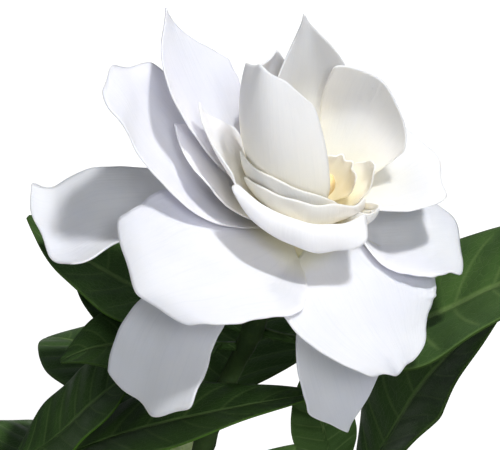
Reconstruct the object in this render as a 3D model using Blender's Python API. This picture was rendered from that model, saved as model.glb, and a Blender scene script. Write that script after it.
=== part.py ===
"""Potted gardenia: a double white flower on a leafy shoot, rooted in a plain clay pot.

Tables are in millimetres and degrees; the meshes are made in metres.
"""
import math
import bpy
import bmesh
import numpy as np
from mathutils import Vector
from mathutils.bvhtree import BVHTree

MM = 0.001
GAP = 0.3

# Pot and soil
POT_HEIGHT = 130.0
POT_RIM_RADIUS = 75.0
POT_RIM_HEIGHT = 26.0
POT_BASE_RADIUS = 50.0
POT_WALL = 6.0
POT_FLOOR = 8.0
SOIL_TOP = 112.0
DRAIN_RADIUS = 4.5
DRAIN_RING = 26.0

# Flower
HEART = np.array([34.0, -28.0, 305.0])
LEAN_RIGHT = 18.0
LEAN_FORWARD = 14.0
PETAL_THICK = 0.8
PETAL_SPACE = 1.25
LEAF_THICK = 0.9

# Stems: points from the soil upwards, then the radius at the soil and at the tip
STEMS = {
    "stem_main": ([(-4, -4, 112.6), (-4.2, -4.6, 124), (-5, -9, 160), (4, -18, 205), (14, -16, 247),
                   (24.5, -21, 277), (30.1, -25, 293)], 3.6, 2.0),
    "stem_left": ([(-20, 4, 112.6), (-20.8, 4, 124), (-30, 2, 160), (-38, -8, 210), (-38, -24, 239)],
                  3.0, 1.4),
    "stem_right": ([(16, 0, 112.6), (16.8, -0.4, 124), (26, -6, 152), (38, -20, 200), (43, -32, 238)],
                   3.0, 1.4),
    "stem_back": ([(4, 20, 112.6), (4.2, 21, 122), (7, 32, 150), (6, 44, 178)], 2.6, 1.6),
}

# Petals, from the centre outwards. "spine" is (reach, height, drift) from the flower's heart along its
# own axis; "around" is the direction of the petal about that axis.
PETALS = {
    "petal_core_1": dict(around=75, spine=[(1.8, 5), (4, 8), (5, 13), (3.5, 18)], spread=(25, 80, 90),
                         drop=.15, lean=(.1, .1)),
    "petal_core_3": dict(around=22, spine=[(2.6, 4.6, 0), (7, 9, 0), (10, 15, 0), (9.5, 20, 0)], width=9,
                         base=2.2, widest=.6, end=.6, drop=.25, cup=(30, 50)),
    "petal_core_4": dict(around=338, spine=[(2.6, 4.2, 0), (9, 7, 0), (12.5, 11, 0), (12.5, 15, 0)], width=11,
                         base=2.2, widest=.6, end=.8, drop=.15, cup=(60, 140)),
    "petal_inner_5": dict(around=64, spine=[(2.6, 3.6), (10, 10), (15, 20), (15, 29), (12.5, 37)],
                          spread=(20, 34, 45, 52), slant=-.3, drop=.1, lean=(.05, .08)),
    "petal_inner_4": dict(around=200, spine=[(2.6, 3.6), (8, 8), (12, 16), (12, 23), (9, 31), (5, 36.5)],
                          spread=(20, 80, 90, 95), slant=.5, drop=.1, lean=(-.46, .18), squash=.85),
    "petal_inner_7": dict(around=25, spine=[(3.2, 2.2), (8, 6), (12, 12), (15, 16.5), (18, 18), (20, 16)],
                          spread=(20, 50, 65, 70), drop=.25, lean=(.42, .25)),
    "petal_inner_3": dict(around=265, spine=[(3.2, 2.2), (10, 6), (16, 11), (19, 15), (21, 16), (22.5, 14),
                                             (22, 10.5)],
                          spread=(12, 34, 43, 44), slant=-.08, drop=.1, lean=(-.35, .28)),
    "petal_inner_6": dict(around=117, spine=[(3.8, 1.2, 0), (12, 7, 0), (19.5, 17, -1), (22, 30, 0),
                                              (24, 43, 4)],
                          width=20, base=2.4, widest=.6, end=.2, drop=.3, tip=1.1, cup=(40, 50)),
    "petal_inner_8": dict(around=132, spine=[(3.8, 1.2, 0), (14, 7, 0), (23, 17, 0), (25, 31, 0)],
                          width=18, base=2.4, widest=.6, end=.6, drop=.2, cup=(30, 40)),
    "petal_inner_1": dict(around=180, spine=[(3.8, 1.2, 0), (11, 5, 2), (18, 10, 1), (26, 17, -2),
                                              (32, 24, -5)],
                          width=18, base=2.4, widest=.5, end=.4, drop=.3, tip=1.3, cup=(40, 40)),
    "petal_middle_5": dict(around=150, spine=[(4.8, -.4, 0), (18, 7, 2), (31, 17, 4), (41, 24, 2),
                                              (49, 30, -2)],
                           width=24, base=3, widest=.75, end=.2, drop=.3, tip=1.2, cup=(30, 25)),
    "petal_inner_2": dict(around=167, spine=[(4.2, .6, 0), (14, 4, 3), (25, 9, 2), (35, 15, 1)],
                          width=20, base=2.6, widest=.55, end=.5, drop=.25, cup=(30, 30)),
    "petal_middle_7": dict(around=104, spine=[(4.8, -.6, 0), (18, 5, 0), (30, 9, 0), (38, 9, 0)],
                           width=30, base=3.4, widest=.6, end=.7, drop=.2, cup=(20, 10)),
    "petal_middle_4": dict(around=168, spine=[(4.8, -.8, 0), (20, 2, 4), (30, 7, 3), (41, 13, 1), (47, 18, 0),
                                              (51, 20.5, -2)],
                           width=25, base=3.4, widest=.5, end=.8, drop=.1, cup=(40, 15), roll=(0, -10)),
    "petal_middle_3": dict(around=18, spine=[(4.8, -.8, 0), (18, 2, 0), (28, 3, 0), (36, 3, 0)],
                           width=33, base=2.8, widest=.6, end=.8, drop=.2, cup=(15, 0), roll=(0, -10)),
    "petal_middle_2": dict(around=301, spine=[(4.8, -1, 0), (16, 1, 0), (28, 0, -1), (40, -4, 2)],
                           width=35, base=3.6, widest=.6, end=(.6, .45), drop=.1, cup=(15, 0), slant=-.1),
    "petal_middle_1": dict(around=217, spine=[(4.8, -1.2, 0), (17, 1, 1), (30, 2, 1), (43, -3, -1)],
                           width=38, base=3.6, widest=.6, end=(.95, .2), drop=.06, cup=(15, 0)),
    "petal_middle_6": dict(around=79, spine=[(4.9, -2.0, 0), (18, 0, 0), (30, 1, 0), (38, -1, 0)],
                           width=26, base=2.6, widest=.6, end=.75, drop=.2, cup=(15, 5)),
    "petal_outer_1": dict(around=178, spine=[(5.6, -3.6, 0), (20, -6, 0), (33, -9, 0), (45, -15, 0),
                                             (54, -20, 0), (59, -18, 1)],
                          width=29, base=4.6, widest=.8, end=.85, drop=.1, cup=(10, 12), slant=.06),
    "petal_outer_2": dict(around=217, spine=[(5.6, -3.8, 0), (18, -7, 0), (28, -14, 1), (33, -22, 4),
                                             (35, -29, 8), (36, -35, 11)],
                          width=25, base=4.6, widest=.85, end=.85, drop=.1, cup=(10, 5)),
    "petal_outer_3": dict(around=296, spine=[(5.6, -3.6, 0), (14, -8, 0), (22, -14, -1), (27, -20, 1),
                                             (31, -27, 4), (34, -32, 6)],
                          width=21, base=4.6, widest=.7, end=.4, drop=.3, tip=1.2, cup=(10, 45)),
    "petal_outer_4": dict(around=345, spine=[(5.6, -3.6, 0), (14, -5, 0), (21, -7, 0), (27, -10, 0)],
                          width=22, base=4.6, widest=.7, end=.7, drop=.2, cup=(10, 5)),
    "petal_outer_5": dict(around=45, spine=[(5.6, -3.8, 0), (18, -4.5, 0), (30, -8, 0), (40, -15, 0)],
                          width=26, base=4.6, widest=.7, end=.7, drop=.2, cup=(10, 5)),
    "petal_outer_6": dict(around=110, spine=[(5.6, -3.6, 0), (18, -3.5, 0), (30, -6, 0), (42, -12, 0)],
                          width=26, base=4.6, widest=.7, end=.7, drop=.2, cup=(10, 5)),
}

# Leaves: stem, height of the joint above the ground, direction, spine (reach, rise, drift) and width
LEAVES = {
    "leaf_01": ("stem_main", 274, 352, [(0, 0), (12, -1), (36, 6), (52, 16), (70, 25), (84, 28)], 38),
    "leaf_02": ("stem_main", 274, 157, [(0, 0), (18, 2), (38, 8), (54, 17)], 30),
    "leaf_03": ("stem_main", 270, 190, [(0, 0), (15, 2), (30, 3), (40, 0)], 28),
    "leaf_04": ("stem_main", 247, 75, [(0, 0), (20, 4), (40, 7), (60, 5)], 36),
    "leaf_05": ("stem_main", 255, 148, [(0, 0), (12, 4), (30, 16), (40, 25)], 22),
    "leaf_06": ("stem_main", 241, 130, [(0, 0), (20, 3), (42, 4), (60, -2)], 34),
    "leaf_07": ("stem_left", 238, 10, [(0, 0, 0), (12, 6, -2), (24, 18, -3), (36, 29, -5)], 23),
    "leaf_08": ("stem_left", 235, 350, [(0, 0, 0), (16, 8, -2), (33, 17, -2), (55, 25, -1), (76, 30, 2)], 27),
    "leaf_09": ("stem_left", 222, 205, [(0, 0), (20, 7), (42, 10), (62, 4)], 32),
    "leaf_10": ("stem_left", 214, 95, [(0, 0), (20, 7), (40, 9), (58, 2)], 30),
    "leaf_11": ("stem_left", 192, 255, [(0, 0), (22, 8), (44, 9), (64, 0)], 34),
    "leaf_12": ("stem_left", 166, 160, [(0, 0), (22, 8), (46, 10), (68, 2)], 36),
    "leaf_13": ("stem_right", 237, 100, [(0, 0, 0), (4, 12, 2), (6, 22, 4), (8, 30, 5)], 15),
    "leaf_14": ("stem_right", 234, 350, [(0, 0, 0), (10, 10, 0), (20, 24, 0), (29, 40, 0)], 26),
    "leaf_15": ("stem_right", 214, 20, [(0, 0), (20, 7), (42, 8), (62, 0)], 32),
    "leaf_16": ("stem_right", 208, 285, [(0, 0), (20, 5), (40, 4), (58, -6)], 32),
    "leaf_17": ("stem_right", 176, 335, [(0, 0), (22, 8), (46, 8), (68, -4)], 36),
    "leaf_18": ("stem_right", 170, 50, [(0, 0), (22, 8), (44, 10), (64, 2)], 34),
    "leaf_19": ("stem_back", 172, 130, [(0, 0), (18, 8), (38, 12), (56, 6)], 30),
    "leaf_20": ("stem_back", 168, 25, [(0, 0), (18, 8), (38, 12), (58, 6)], 32),
    "leaf_21": ("stem_back", 150, 85, [(0, 0), (20, 8), (42, 10), (62, 2)], 34),
    "leaf_22": ("stem_main", 196, 268, [(0, 0), (20, 4), (40, 2), (58, -8)], 34),
    "leaf_23": ("stem_main", 160, 300, [(0, 0), (22, 8), (46, 8), (70, -3)], 36),
}


def colour_material(name, colour, roughness):
    """A plain shader for one sub-part."""
    mat = bpy.data.materials.new(name)
    mat.use_nodes = True
    shader = mat.node_tree.nodes["Principled BSDF"]
    shader.inputs["Base Color"].default_value = (*colour, 1.0)
    shader.inputs["Roughness"].default_value = roughness
    shader.inputs["Metallic"].default_value = 0.0
    return mat


def mesh_object(name, verts, faces, mat, smooth=True):
    """One object from millimetre points, with outward faces."""
    mesh = bpy.data.meshes.new(name)
    mesh.from_pydata([tuple(float(c) * MM for c in v) for v in verts], [], faces)
    bm = bmesh.new()
    bm.from_mesh(mesh)
    bmesh.ops.recalc_face_normals(bm, faces=bm.faces)
    bm.to_mesh(mesh)
    bm.free()
    mesh.materials.append(mat)
    if smooth:
        mesh.shade_smooth()
    obj = bpy.data.objects.new(name, mesh)
    bpy.context.collection.objects.link(obj)
    return obj


def curve_through(points, count=201):
    """Smooth curve through the points, evenly spaced by length."""
    p = np.array(points, float)
    step = np.linalg.norm(np.diff(p, axis=0), axis=1)
    t = np.concatenate([[0.0], np.cumsum(step)])
    slope = np.empty_like(p)
    slope[1:-1] = (p[2:] - p[:-2]) / (t[2:] - t[:-2])[:, None]
    slope[0] = 2 * (p[1] - p[0]) / step[0] - slope[1]
    slope[-1] = 2 * (p[-1] - p[-2]) / step[-1] - slope[-2]
    x = np.linspace(0, t[-1], 400)
    i = np.clip(np.searchsorted(t, x, side="right") - 1, 0, len(step) - 1)
    h = step[i][:, None]
    s = ((x - t[i]) / step[i])[:, None]
    q = (2 * s**3 - 3 * s**2 + 1) * p[i] + (s**3 - 2 * s**2 + s) * h * slope[i]
    q = q + (3 * s**2 - 2 * s**3) * p[i + 1] + (s**3 - s**2) * h * slope[i + 1]
    run = np.concatenate([[0.0], np.cumsum(np.linalg.norm(np.diff(q, axis=0), axis=1))])
    even = np.linspace(0, run[-1], count)
    return np.stack([np.interp(even, run, q[:, k]) for k in range(3)], axis=1)


def along(rows, s):
    """Values of a table with one row per even step, read at s from 0 to 1."""
    grid = np.linspace(0, 1, len(rows))
    return np.stack([np.interp(s, grid, rows[:, k]) for k in range(rows.shape[1])], axis=-1)


def station(nu, nv, drop, tip, slant):
    """Length and side coordinates of a petal whose end is rounded by drop and cut by slant."""
    u, v = np.meshgrid(np.linspace(0, 1, nu), np.linspace(-1, 1, nv), indexing="ij")
    cut = drop * np.abs(v) ** tip + abs(slant) * (1 + np.sign(slant) * v) / 2
    return u * (1 - u * cut), v


def open_petal(around, spine, width, base=4, widest=.6, end=.6, drop=.25, tip=2, cup=(20, 20),
               roll=(0, 0), slant=0, nu=9, nv=7):
    """A blade that follows a spine and is cupped across it."""
    a = math.radians(around)
    out = np.array([math.cos(a), math.sin(a), 0])
    side = np.array([-math.sin(a), math.cos(a), 0])
    mid = curve_through([out * p[0] + side * p[2] + np.array([0, 0, p[1]]) for p in spine])
    run = np.gradient(mid, axis=0)
    run /= np.linalg.norm(run, axis=1)[:, None]
    cross = side - (run @ side)[:, None] * run
    cross /= np.linalg.norm(cross, axis=1)[:, None]
    inner = np.cross(run, cross)
    s, v = station(nu, nv, drop, tip, slant)
    c, sd, nm = along(mid, s), along(cross, s), along(inner, s)
    turn = np.radians(roll[0] + (roll[1] - roll[0]) * s)[..., None]
    sd, nm = np.cos(turn) * sd + np.sin(turn) * nm, np.cos(turn) * nm - np.sin(turn) * sd
    rise = np.sin(np.pi / 2 * np.clip(s / widest, 0, 1)) ** 1.3
    ends = end if isinstance(end, tuple) else (end, end)
    narrow = (1 - np.where(v < 0, ends[0], ends[1])) * np.clip((s - widest) / (1 - widest), 0, 1) ** 2
    half = (base + (width - base) * rise) / 2 * (1 - narrow)
    bend = np.maximum(np.radians(cup[0] + (cup[1] - cup[0]) * s), 0.001)
    x = half * np.sin(bend * v) / bend
    n = half * (1 - np.cos(bend * v)) / bend
    return c + sd * x[..., None] + nm * n[..., None]


def cup_petal(around, spine, spread, drop=.2, tip=2, slant=0, lean=(0, 0), squash=1, nu=9, nv=9):
    """A blade that wraps round the flower's axis as a slice of a turned cup, leaning with height."""
    line = curve_through([(p[0], 0, p[1]) for p in spine])
    s, v = station(nu, nv, drop, tip, slant)
    angle = np.radians(around + v * np.interp(s, np.linspace(0, 1, len(spread)), spread))
    at = along(line, s)
    reach, height = at[..., 0], at[..., 2]
    return np.stack([reach * np.cos(angle) + lean[0] * height,
                     squash * reach * np.sin(angle) + lean[1] * height, height], axis=-1)


def leaf_blade(around, spine, width, nu=7, nv=5):
    """A pointed oval leaf on a short stalk, folded up a little along its midrib."""
    a = math.radians(around)
    out = np.array([math.cos(a), math.sin(a), 0])
    side = np.array([-math.sin(a), math.cos(a), 0])
    up = np.array([0, 0, 1.0])
    drift = [p[2] if len(p) > 2 else 0 for p in spine]
    mid = curve_through([out * p[0] + side * d + up * p[1] for p, d in zip(spine, drift)])
    run = np.gradient(mid, axis=0)
    run /= np.linalg.norm(run, axis=1)[:, None]
    cross = side - (run @ side)[:, None] * run
    cross /= np.linalg.norm(cross, axis=1)[:, None]
    upper = np.cross(run, cross)
    s, v = np.meshgrid(np.linspace(0, 1, nu), np.linspace(-1, 1, nv), indexing="ij")
    blade = np.clip((s - 0.1) / 0.9, 0, 1)
    half = 0.9 + (width / 2 - 0.9) * np.sin(np.pi * blade ** 0.85) ** 0.8
    half = np.where(s > 0.999, 0.5, half)
    lift = 0.16 * np.abs(v) * half
    return along(mid, s) + along(cross, s) * (half * v)[..., None] + along(upper, s) * lift[..., None]


def surface_normals(grid):
    """Unit normal at each point of a grid."""
    n = np.cross(np.gradient(grid, axis=0), np.gradient(grid, axis=1))
    return n / np.maximum(np.linalg.norm(n, axis=-1), 1e-9)[..., None]


def grid_tree(grid):
    """Search tree over a grid's quads."""
    nu, nv = grid.shape[:2]
    quads = [(i * nv + j, (i + 1) * nv + j, (i + 1) * nv + j + 1, i * nv + j + 1)
             for i in range(nu - 1) for j in range(nv - 1)]
    return BVHTree.FromPolygons([Vector(p) for p in grid.reshape(-1, 3)], quads)


def settle(grid, trees, space, reach=7.0):
    """Push a petal outwards where it would lie inside or against a petal nearer the centre."""
    moved = grid.copy()
    flat = moved.reshape(-1, 3)
    for _ in range(6):
        for k in range(len(flat)):
            p = Vector(flat[k])
            for tree in trees:
                near, normal, _, dist = tree.find_nearest(p, reach)
                if near is None:
                    continue
                depth = (p - near).dot(-normal)
                beside = ((p - near) + normal * depth).length
                if depth < space and beside < 0.6 * space + 0.25:
                    p = p - normal * (space - depth)
            flat[k] = p
    return moved


def sheet_solid(name, grid, thick, mat):
    """A closed plate of even thickness about a grid."""
    nu, nv = grid.shape[:2]
    n = surface_normals(grid)
    top = (grid + n * thick / 2).reshape(-1, 3)
    low = (grid - n * thick / 2).reshape(-1, 3)
    count = nu * nv
    faces = []
    for i in range(nu - 1):
        for j in range(nv - 1):
            q = (i * nv + j, (i + 1) * nv + j, (i + 1) * nv + j + 1, i * nv + j + 1)
            faces.append(q)
            faces.append(tuple(k + count for k in reversed(q)))
    rim = [j for j in range(nv)] + [i * nv + nv - 1 for i in range(1, nu)]
    rim += [(nu - 1) * nv + j for j in range(nv - 2, -1, -1)] + [i * nv for i in range(nu - 2, 0, -1)]
    for a, b in zip(rim, rim[1:] + rim[:1]):
        faces.append((a, b, b + count, a + count))
    return mesh_object(name, np.concatenate([top, low]), faces, mat)


def turned_solid(name, profile, mat, sides=40, frame=None, origin=(0, 0, 0), smooth=True):
    """A closed turned body; the profile runs (radius, height) from axis to axis."""
    axes = np.eye(3) if frame is None else frame
    verts, rings, faces = [], [], []
    for r, h in profile:
        if r < 1e-6:
            rings.append([len(verts)])
            verts.append(axes[:, 2] * h + np.array(origin))
        else:
            rings.append(list(range(len(verts), len(verts) + sides)))
            for k in range(sides):
                a = 2 * math.pi * k / sides
                verts.append(axes @ np.array([r * math.cos(a), r * math.sin(a), h]) + np.array(origin))
    for a, b in zip(rings, rings[1:]):
        for k in range(sides):
            m = (k + 1) % sides
            if len(a) == 1:
                faces.append((a[0], b[m], b[k]))
            elif len(b) == 1:
                faces.append((a[k], a[m], b[0]))
            else:
                faces.append((a[k], a[m], b[m], b[k]))
    return mesh_object(name, verts, faces, mat, smooth)


def stem_solid(name, points, foot, tip, mat):
    """A tapering stem with closed ends, flat where it meets the soil."""
    line = curve_through(points, 13)
    data = bpy.data.curves.new(name, "CURVE")
    data.dimensions = "3D"
    data.bevel_depth = MM
    data.bevel_resolution = 1
    data.use_fill_caps = True
    spline = data.splines.new("POLY")
    spline.points.add(len(line) - 1)
    for k, p in enumerate(line):
        spline.points[k].co = (*[float(c) * MM for c in p], 1.0)
        spline.points[k].radius = foot + (tip - foot) * k / (len(line) - 1)
    data.materials.append(mat)
    obj = bpy.data.objects.new(name, data)
    bpy.context.collection.objects.link(obj)
    return obj


def stem_joint(stem, height):
    """Centre and radius of a stem at a height above the ground."""
    points, foot, tip = STEMS[stem]
    line = curve_through(points, 201)
    k = int(np.argmin(np.abs(line[:, 2] - height)))
    return line[k], foot + (tip - foot) * k / 200


def flower_axes():
    """Columns: right, back and up of the leaning flower."""
    up = np.array([math.tan(math.radians(LEAN_RIGHT)), -math.tan(math.radians(LEAN_FORWARD)), 1.0])
    up /= np.linalg.norm(up)
    right = np.array([1.0, 0, 0]) - up * up[0]
    right /= np.linalg.norm(right)
    return np.stack([right, np.cross(up, right), up], axis=1)


def build_pot():
    """Tapered clay pot with a collar rim and three drain holes, and the soil inside."""
    clay = colour_material("clay", (0.56, 0.28, 0.17), 0.8)
    earth = colour_material("earth", (0.05, 0.033, 0.022), 0.95)
    collar = POT_HEIGHT - POT_RIM_HEIGHT
    body_top = POT_RIM_RADIUS - 7.0
    slope = (body_top - POT_BASE_RADIUS) / collar
    inner_top = POT_RIM_RADIUS - POT_WALL - 0.8
    inner_low = POT_BASE_RADIUS - POT_WALL
    profile = [(0, 0), (POT_BASE_RADIUS - 1.5, 0), (POT_BASE_RADIUS, 1.5), (body_top, collar),
               (POT_RIM_RADIUS - 1.5, collar + 0.5), (POT_RIM_RADIUS, collar + 2.5),
               (POT_RIM_RADIUS, POT_HEIGHT - 2), (POT_RIM_RADIUS - 2, POT_HEIGHT),
               (inner_top + 1.5, POT_HEIGHT), (inner_top, POT_HEIGHT - 1.5),
               (inner_top - 1.5, collar), (inner_low + slope * 8, POT_FLOOR + 6), (inner_low - 4, POT_FLOOR),
               (0, POT_FLOOR)]
    pot = turned_solid("pot", profile, clay, 40)
    pot.data.set_sharp_from_angle(angle=math.radians(40))
    for k in range(3):
        a = math.radians(40 + 120 * k)
        bpy.ops.mesh.primitive_cylinder_add(vertices=16, radius=DRAIN_RADIUS * MM, depth=4 * POT_FLOOR * MM,
                                            location=(DRAIN_RING * math.cos(a) * MM,
                                                      DRAIN_RING * math.sin(a) * MM, 0))
        cutter = bpy.context.object
        cutter.name = "drain_cutter_%d" % (k + 1)
        cutter.hide_render = True
        cutter.display_type = "WIRE"
        cut = pot.modifiers.new("drain_%d" % (k + 1), "BOOLEAN")
        cut.operation = "DIFFERENCE"
        cut.object = cutter

    top_rad = inner_top - 1.5 - 0.2
    low_rad = inner_low + slope * 8 - 0.5
    level = (SOIL_TOP - collar) / POT_RIM_HEIGHT
    soil_rad = top_rad + 1.2 * level - GAP
    turned_solid("soil", [(0, POT_FLOOR + GAP), (inner_low - 5, POT_FLOOR + GAP),
                          (low_rad - 0.4, POT_FLOOR + 6.5), (top_rad - 0.4, collar),
                          (soil_rad, SOIL_TOP), (0, SOIL_TOP)], earth, 40)


def build_flower():
    """Calyx, tube, stigma and the petals, set on the leaning axis."""
    axes = flower_axes()
    white = colour_material("petal_white", (0.9, 0.89, 0.9), 0.5)
    green = colour_material("calyx_green", (0.12, 0.24, 0.05), 0.5)
    cream = colour_material("stigma_cream", (0.85, 0.66, 0.3), 0.6)
    turned_solid("calyx", [(0, -12.6), (1.9, -12.4), (3.4, -10.5), (4.3, -8), (4.4, -6.3), (0, -6.2)],
                 green, 20, axes, HEART)
    turned_solid("corolla_tube", [(0, -5.9), (4.4, -5.8), (4.7, -4.6), (4.7, -3), (4.1, -1.9), (3.7, 0),
                                  (3.1, 1), (2.7, 2), (2.4, 3), (2.1, 3.8), (0, 4.1)],
                 white, 20, axes, HEART)
    turned_solid("stigma", [(0, 4.5), (0.9, 4.6), (0.8, 9), (1.6, 11), (2.1, 13.5), (1.5, 15.8), (0, 16.4)],
                 cream, 14, axes, HEART)
    trees = []
    for name, spec in PETALS.items():
        grid = cup_petal(**spec) if "spread" in spec else open_petal(**spec)
        grid = settle(grid, trees, PETAL_SPACE)
        trees.append(grid_tree(grid))
        sheet_solid(name, grid @ axes.T + HEART, PETAL_THICK, white)


def build_leaves():
    """Leaves, each seated against its stem."""
    green = colour_material("leaf_green", (0.035, 0.11, 0.02), 0.3)
    for name, (stem, height, around, spine, width) in LEAVES.items():
        centre, radius = stem_joint(stem, height)
        a = math.radians(around)
        base = centre + np.array([math.cos(a), math.sin(a), 0]) * (radius + 0.5)
        sheet_solid(name, leaf_blade(around, spine, width) + base, LEAF_THICK, green)


def build_stems():
    """Woody stems and the bud on the short back shoot."""
    bark = colour_material("stem_bark", (0.16, 0.13, 0.07), 0.7)
    for name, (points, foot, tip) in STEMS.items():
        stem_solid(name, points, foot, tip, bark)
    bud = colour_material("bud_green", (0.35, 0.45, 0.18), 0.4)
    tip = np.array(STEMS["stem_back"][0][-1], float)
    turned_solid("bud", [(0, 0.4), (1.6, 0.6), (3.2, 3), (3.0, 6.5), (4.6, 12), (4.2, 18), (2.2, 25),
                         (0, 30)], bud, 14, None, tip)


for old in list(bpy.data.objects):
    bpy.data.objects.remove(old, do_unlink=True)
build_pot()
build_stems()
build_leaves()
build_flower()
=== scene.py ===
# %% [markdown]
# # A potted gardenia
#
# A gardenia is a small shrub with glossy leaves in pairs and a double white flower. The part's
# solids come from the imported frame: here each petal, leaf, stem and the pot get the fine surface
# that the real ones have. The script starts by loading that frame and measuring its box.

# %% Load the frame
import math
import random
import bpy
import numpy as np
from mathutils import Matrix, Vector, noise
from mathutils.bvhtree import BVHTree


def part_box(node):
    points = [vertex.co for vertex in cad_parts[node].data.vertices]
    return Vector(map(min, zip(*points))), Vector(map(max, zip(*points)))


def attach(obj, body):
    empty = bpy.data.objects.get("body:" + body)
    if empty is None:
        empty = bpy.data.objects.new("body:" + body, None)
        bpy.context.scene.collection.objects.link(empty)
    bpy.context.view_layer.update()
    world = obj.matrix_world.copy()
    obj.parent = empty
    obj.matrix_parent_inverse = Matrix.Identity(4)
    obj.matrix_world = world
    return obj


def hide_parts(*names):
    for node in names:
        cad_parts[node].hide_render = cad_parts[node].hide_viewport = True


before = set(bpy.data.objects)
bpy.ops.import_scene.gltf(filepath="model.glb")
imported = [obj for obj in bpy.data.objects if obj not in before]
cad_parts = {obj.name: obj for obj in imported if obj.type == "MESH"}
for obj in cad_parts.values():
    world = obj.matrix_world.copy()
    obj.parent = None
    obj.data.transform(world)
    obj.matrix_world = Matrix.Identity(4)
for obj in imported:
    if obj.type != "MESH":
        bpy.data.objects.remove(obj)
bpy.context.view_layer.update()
MM = 0.001
random.seed(7)
NODES = set(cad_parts)
print("frame nodes:", len(NODES))

# %% [markdown]
# The flower sits on the calyx and leans to the right and towards the viewer. The heart of the
# flower, where all its petals meet, lies on that axis a little above the calyx, so it is worked
# out from the calyx's box and everything in the bloom is placed from it.

# %% Find the heart of the flower
LEAN_RIGHT = math.radians(18.0)
LEAN_FORWARD = math.radians(14.0)
CALYX_TO_HEART = 9.4 * MM


def flower_axes():
    """Columns: right, back and up of the leaning flower."""
    up = np.array([math.tan(LEAN_RIGHT), -math.tan(LEAN_FORWARD), 1.0])
    up /= np.linalg.norm(up)
    right = np.array([1.0, 0, 0]) - up * up[0]
    right /= np.linalg.norm(right)
    return np.stack([right, np.cross(up, right), up], axis=1)


AXES = flower_axes()
calyx_low, calyx_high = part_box("calyx")
HEART = (np.array(calyx_low) + np.array(calyx_high)) / 2 + AXES[:, 2] * CALYX_TO_HEART
print("heart of the flower (mm):", np.round(HEART / MM, 1))

# %% [markdown]
# ## Camera
#
# The view looks down at the open flower from the front, close enough that the bloom fills the
# picture. A long lens from further off keeps the petals from swelling towards the viewer.

# %% Set the camera
VIEW_WIDTH = 109.0 * MM
LENS = 200.0
SENSOR = 36.0
LOOK_DOWN = math.radians(30.0)
AIM_LEFT = 12.0 * MM
AIM_UP = 0.65 * MM

forward = Vector((0, math.cos(LOOK_DOWN), -math.sin(LOOK_DOWN)))
upward = Vector((0, math.sin(LOOK_DOWN), math.cos(LOOK_DOWN)))
aim = Vector(HEART) - Vector((AIM_LEFT, 0, 0)) + upward * AIM_UP
distance = LENS / SENSOR * VIEW_WIDTH
camera = bpy.data.objects.new("camera", bpy.data.cameras.new("camera"))
camera.data.lens = LENS
camera.data.sensor_width = SENSOR
camera.data.clip_end = 100.0
camera.location = aim - forward * distance
camera.rotation_euler = (math.pi / 2 - LOOK_DOWN, 0, 0)
bpy.context.collection.objects.link(camera)
bpy.context.scene.camera = camera
print("camera stands %.0f mm away" % (distance / MM))

# %% [markdown]
# ## Floor and light
#
# A wide pale floor stands for the studio. A small lamp high on the right throws clear shadows
# like the sun's, a broad weak one in front opens them, and a faint blue sky fills the rest, at a
# level where a colour looks about as it is written. The floor and the sky look white to the
# camera without lighting the plant any more, because Light Path tells them who is looking.

# %% Lay the floor and hang the lamps
bpy.context.scene.view_settings.view_transform = "Standard"
WHITE = (1.0, 1.0, 1.0, 1.0)
FLOOR_SIZE = 60.0
# Nearest and furthest distance from the middle in metres, and the glow seen at each.
FLOOR_GLOW = (0.25, 1.0, 0.45, 1.0)
# Place from the flower and size in metres, power in watts, and colour.
LAMPS = {
    "key_lamp": ((0.4, -0.36, 1.4), 0.16, 20.0, (1.0, 0.985, 0.96)),
    "front_lamp": ((0.35, -1.3, 0.95), 0.5, 9.5, (0.98, 0.985, 1.0)),
}
SKY_COLOUR = (0.86, 0.92, 1.0, 1.0)
SKY_STRENGTH = 0.19


def pale_floor():
    """A white floor that still takes a soft shadow."""
    bpy.ops.mesh.primitive_plane_add(size=FLOOR_SIZE, location=(0, 0, 0))
    floor = bpy.context.object
    floor.name = "studio_floor"
    mat = bpy.data.materials.new("studio_floor")
    mat.use_nodes = True
    tree = mat.node_tree
    shader = tree.nodes["Principled BSDF"]
    shader.inputs["Base Color"].default_value = (0.8, 0.8, 0.8, 1)
    shader.inputs["Roughness"].default_value = 0.9
    shader.inputs["Specular IOR Level"].default_value = 0.1
    glow = tree.nodes.new("ShaderNodeEmission")
    glow.inputs["Color"].default_value = WHITE
    place = tree.nodes.new("ShaderNodeTexCoord")
    distance = tree.nodes.new("ShaderNodeVectorMath")
    distance.operation = "LENGTH"
    fade = tree.nodes.new("ShaderNodeMapRange")
    for socket, value in zip(("From Min", "From Max", "To Min", "To Max"), FLOOR_GLOW):
        fade.inputs[socket].default_value = value
    tree.links.new(place.outputs["Object"], distance.inputs[0])
    tree.links.new(distance.outputs["Value"], fade.inputs["Value"])
    tree.links.new(fade.outputs["Result"], glow.inputs["Strength"])
    both = tree.nodes.new("ShaderNodeAddShader")
    pick = tree.nodes.new("ShaderNodeMixShader")
    path = tree.nodes.new("ShaderNodeLightPath")
    tree.links.new(shader.outputs[0], both.inputs[0])
    tree.links.new(glow.outputs[0], both.inputs[1])
    tree.links.new(path.outputs["Is Camera Ray"], pick.inputs[0])
    tree.links.new(shader.outputs[0], pick.inputs[1])
    tree.links.new(both.outputs[0], pick.inputs[2])
    tree.links.new(pick.outputs[0], tree.nodes["Material Output"].inputs["Surface"])
    floor.data.materials.append(mat)


def soft_lamp(name, place, size, power, colour):
    """An area lamp that faces the flower."""
    lamp = bpy.data.lights.new(name, "AREA")
    lamp.shape = "DISK"
    lamp.size = size
    lamp.energy = power
    lamp.color = colour
    obj = bpy.data.objects.new(name, lamp)
    obj.location = Vector(HEART) + Vector(place)
    obj.rotation_euler = (-Vector(place)).to_track_quat("-Z", "Y").to_euler()
    bpy.context.collection.objects.link(obj)


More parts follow.
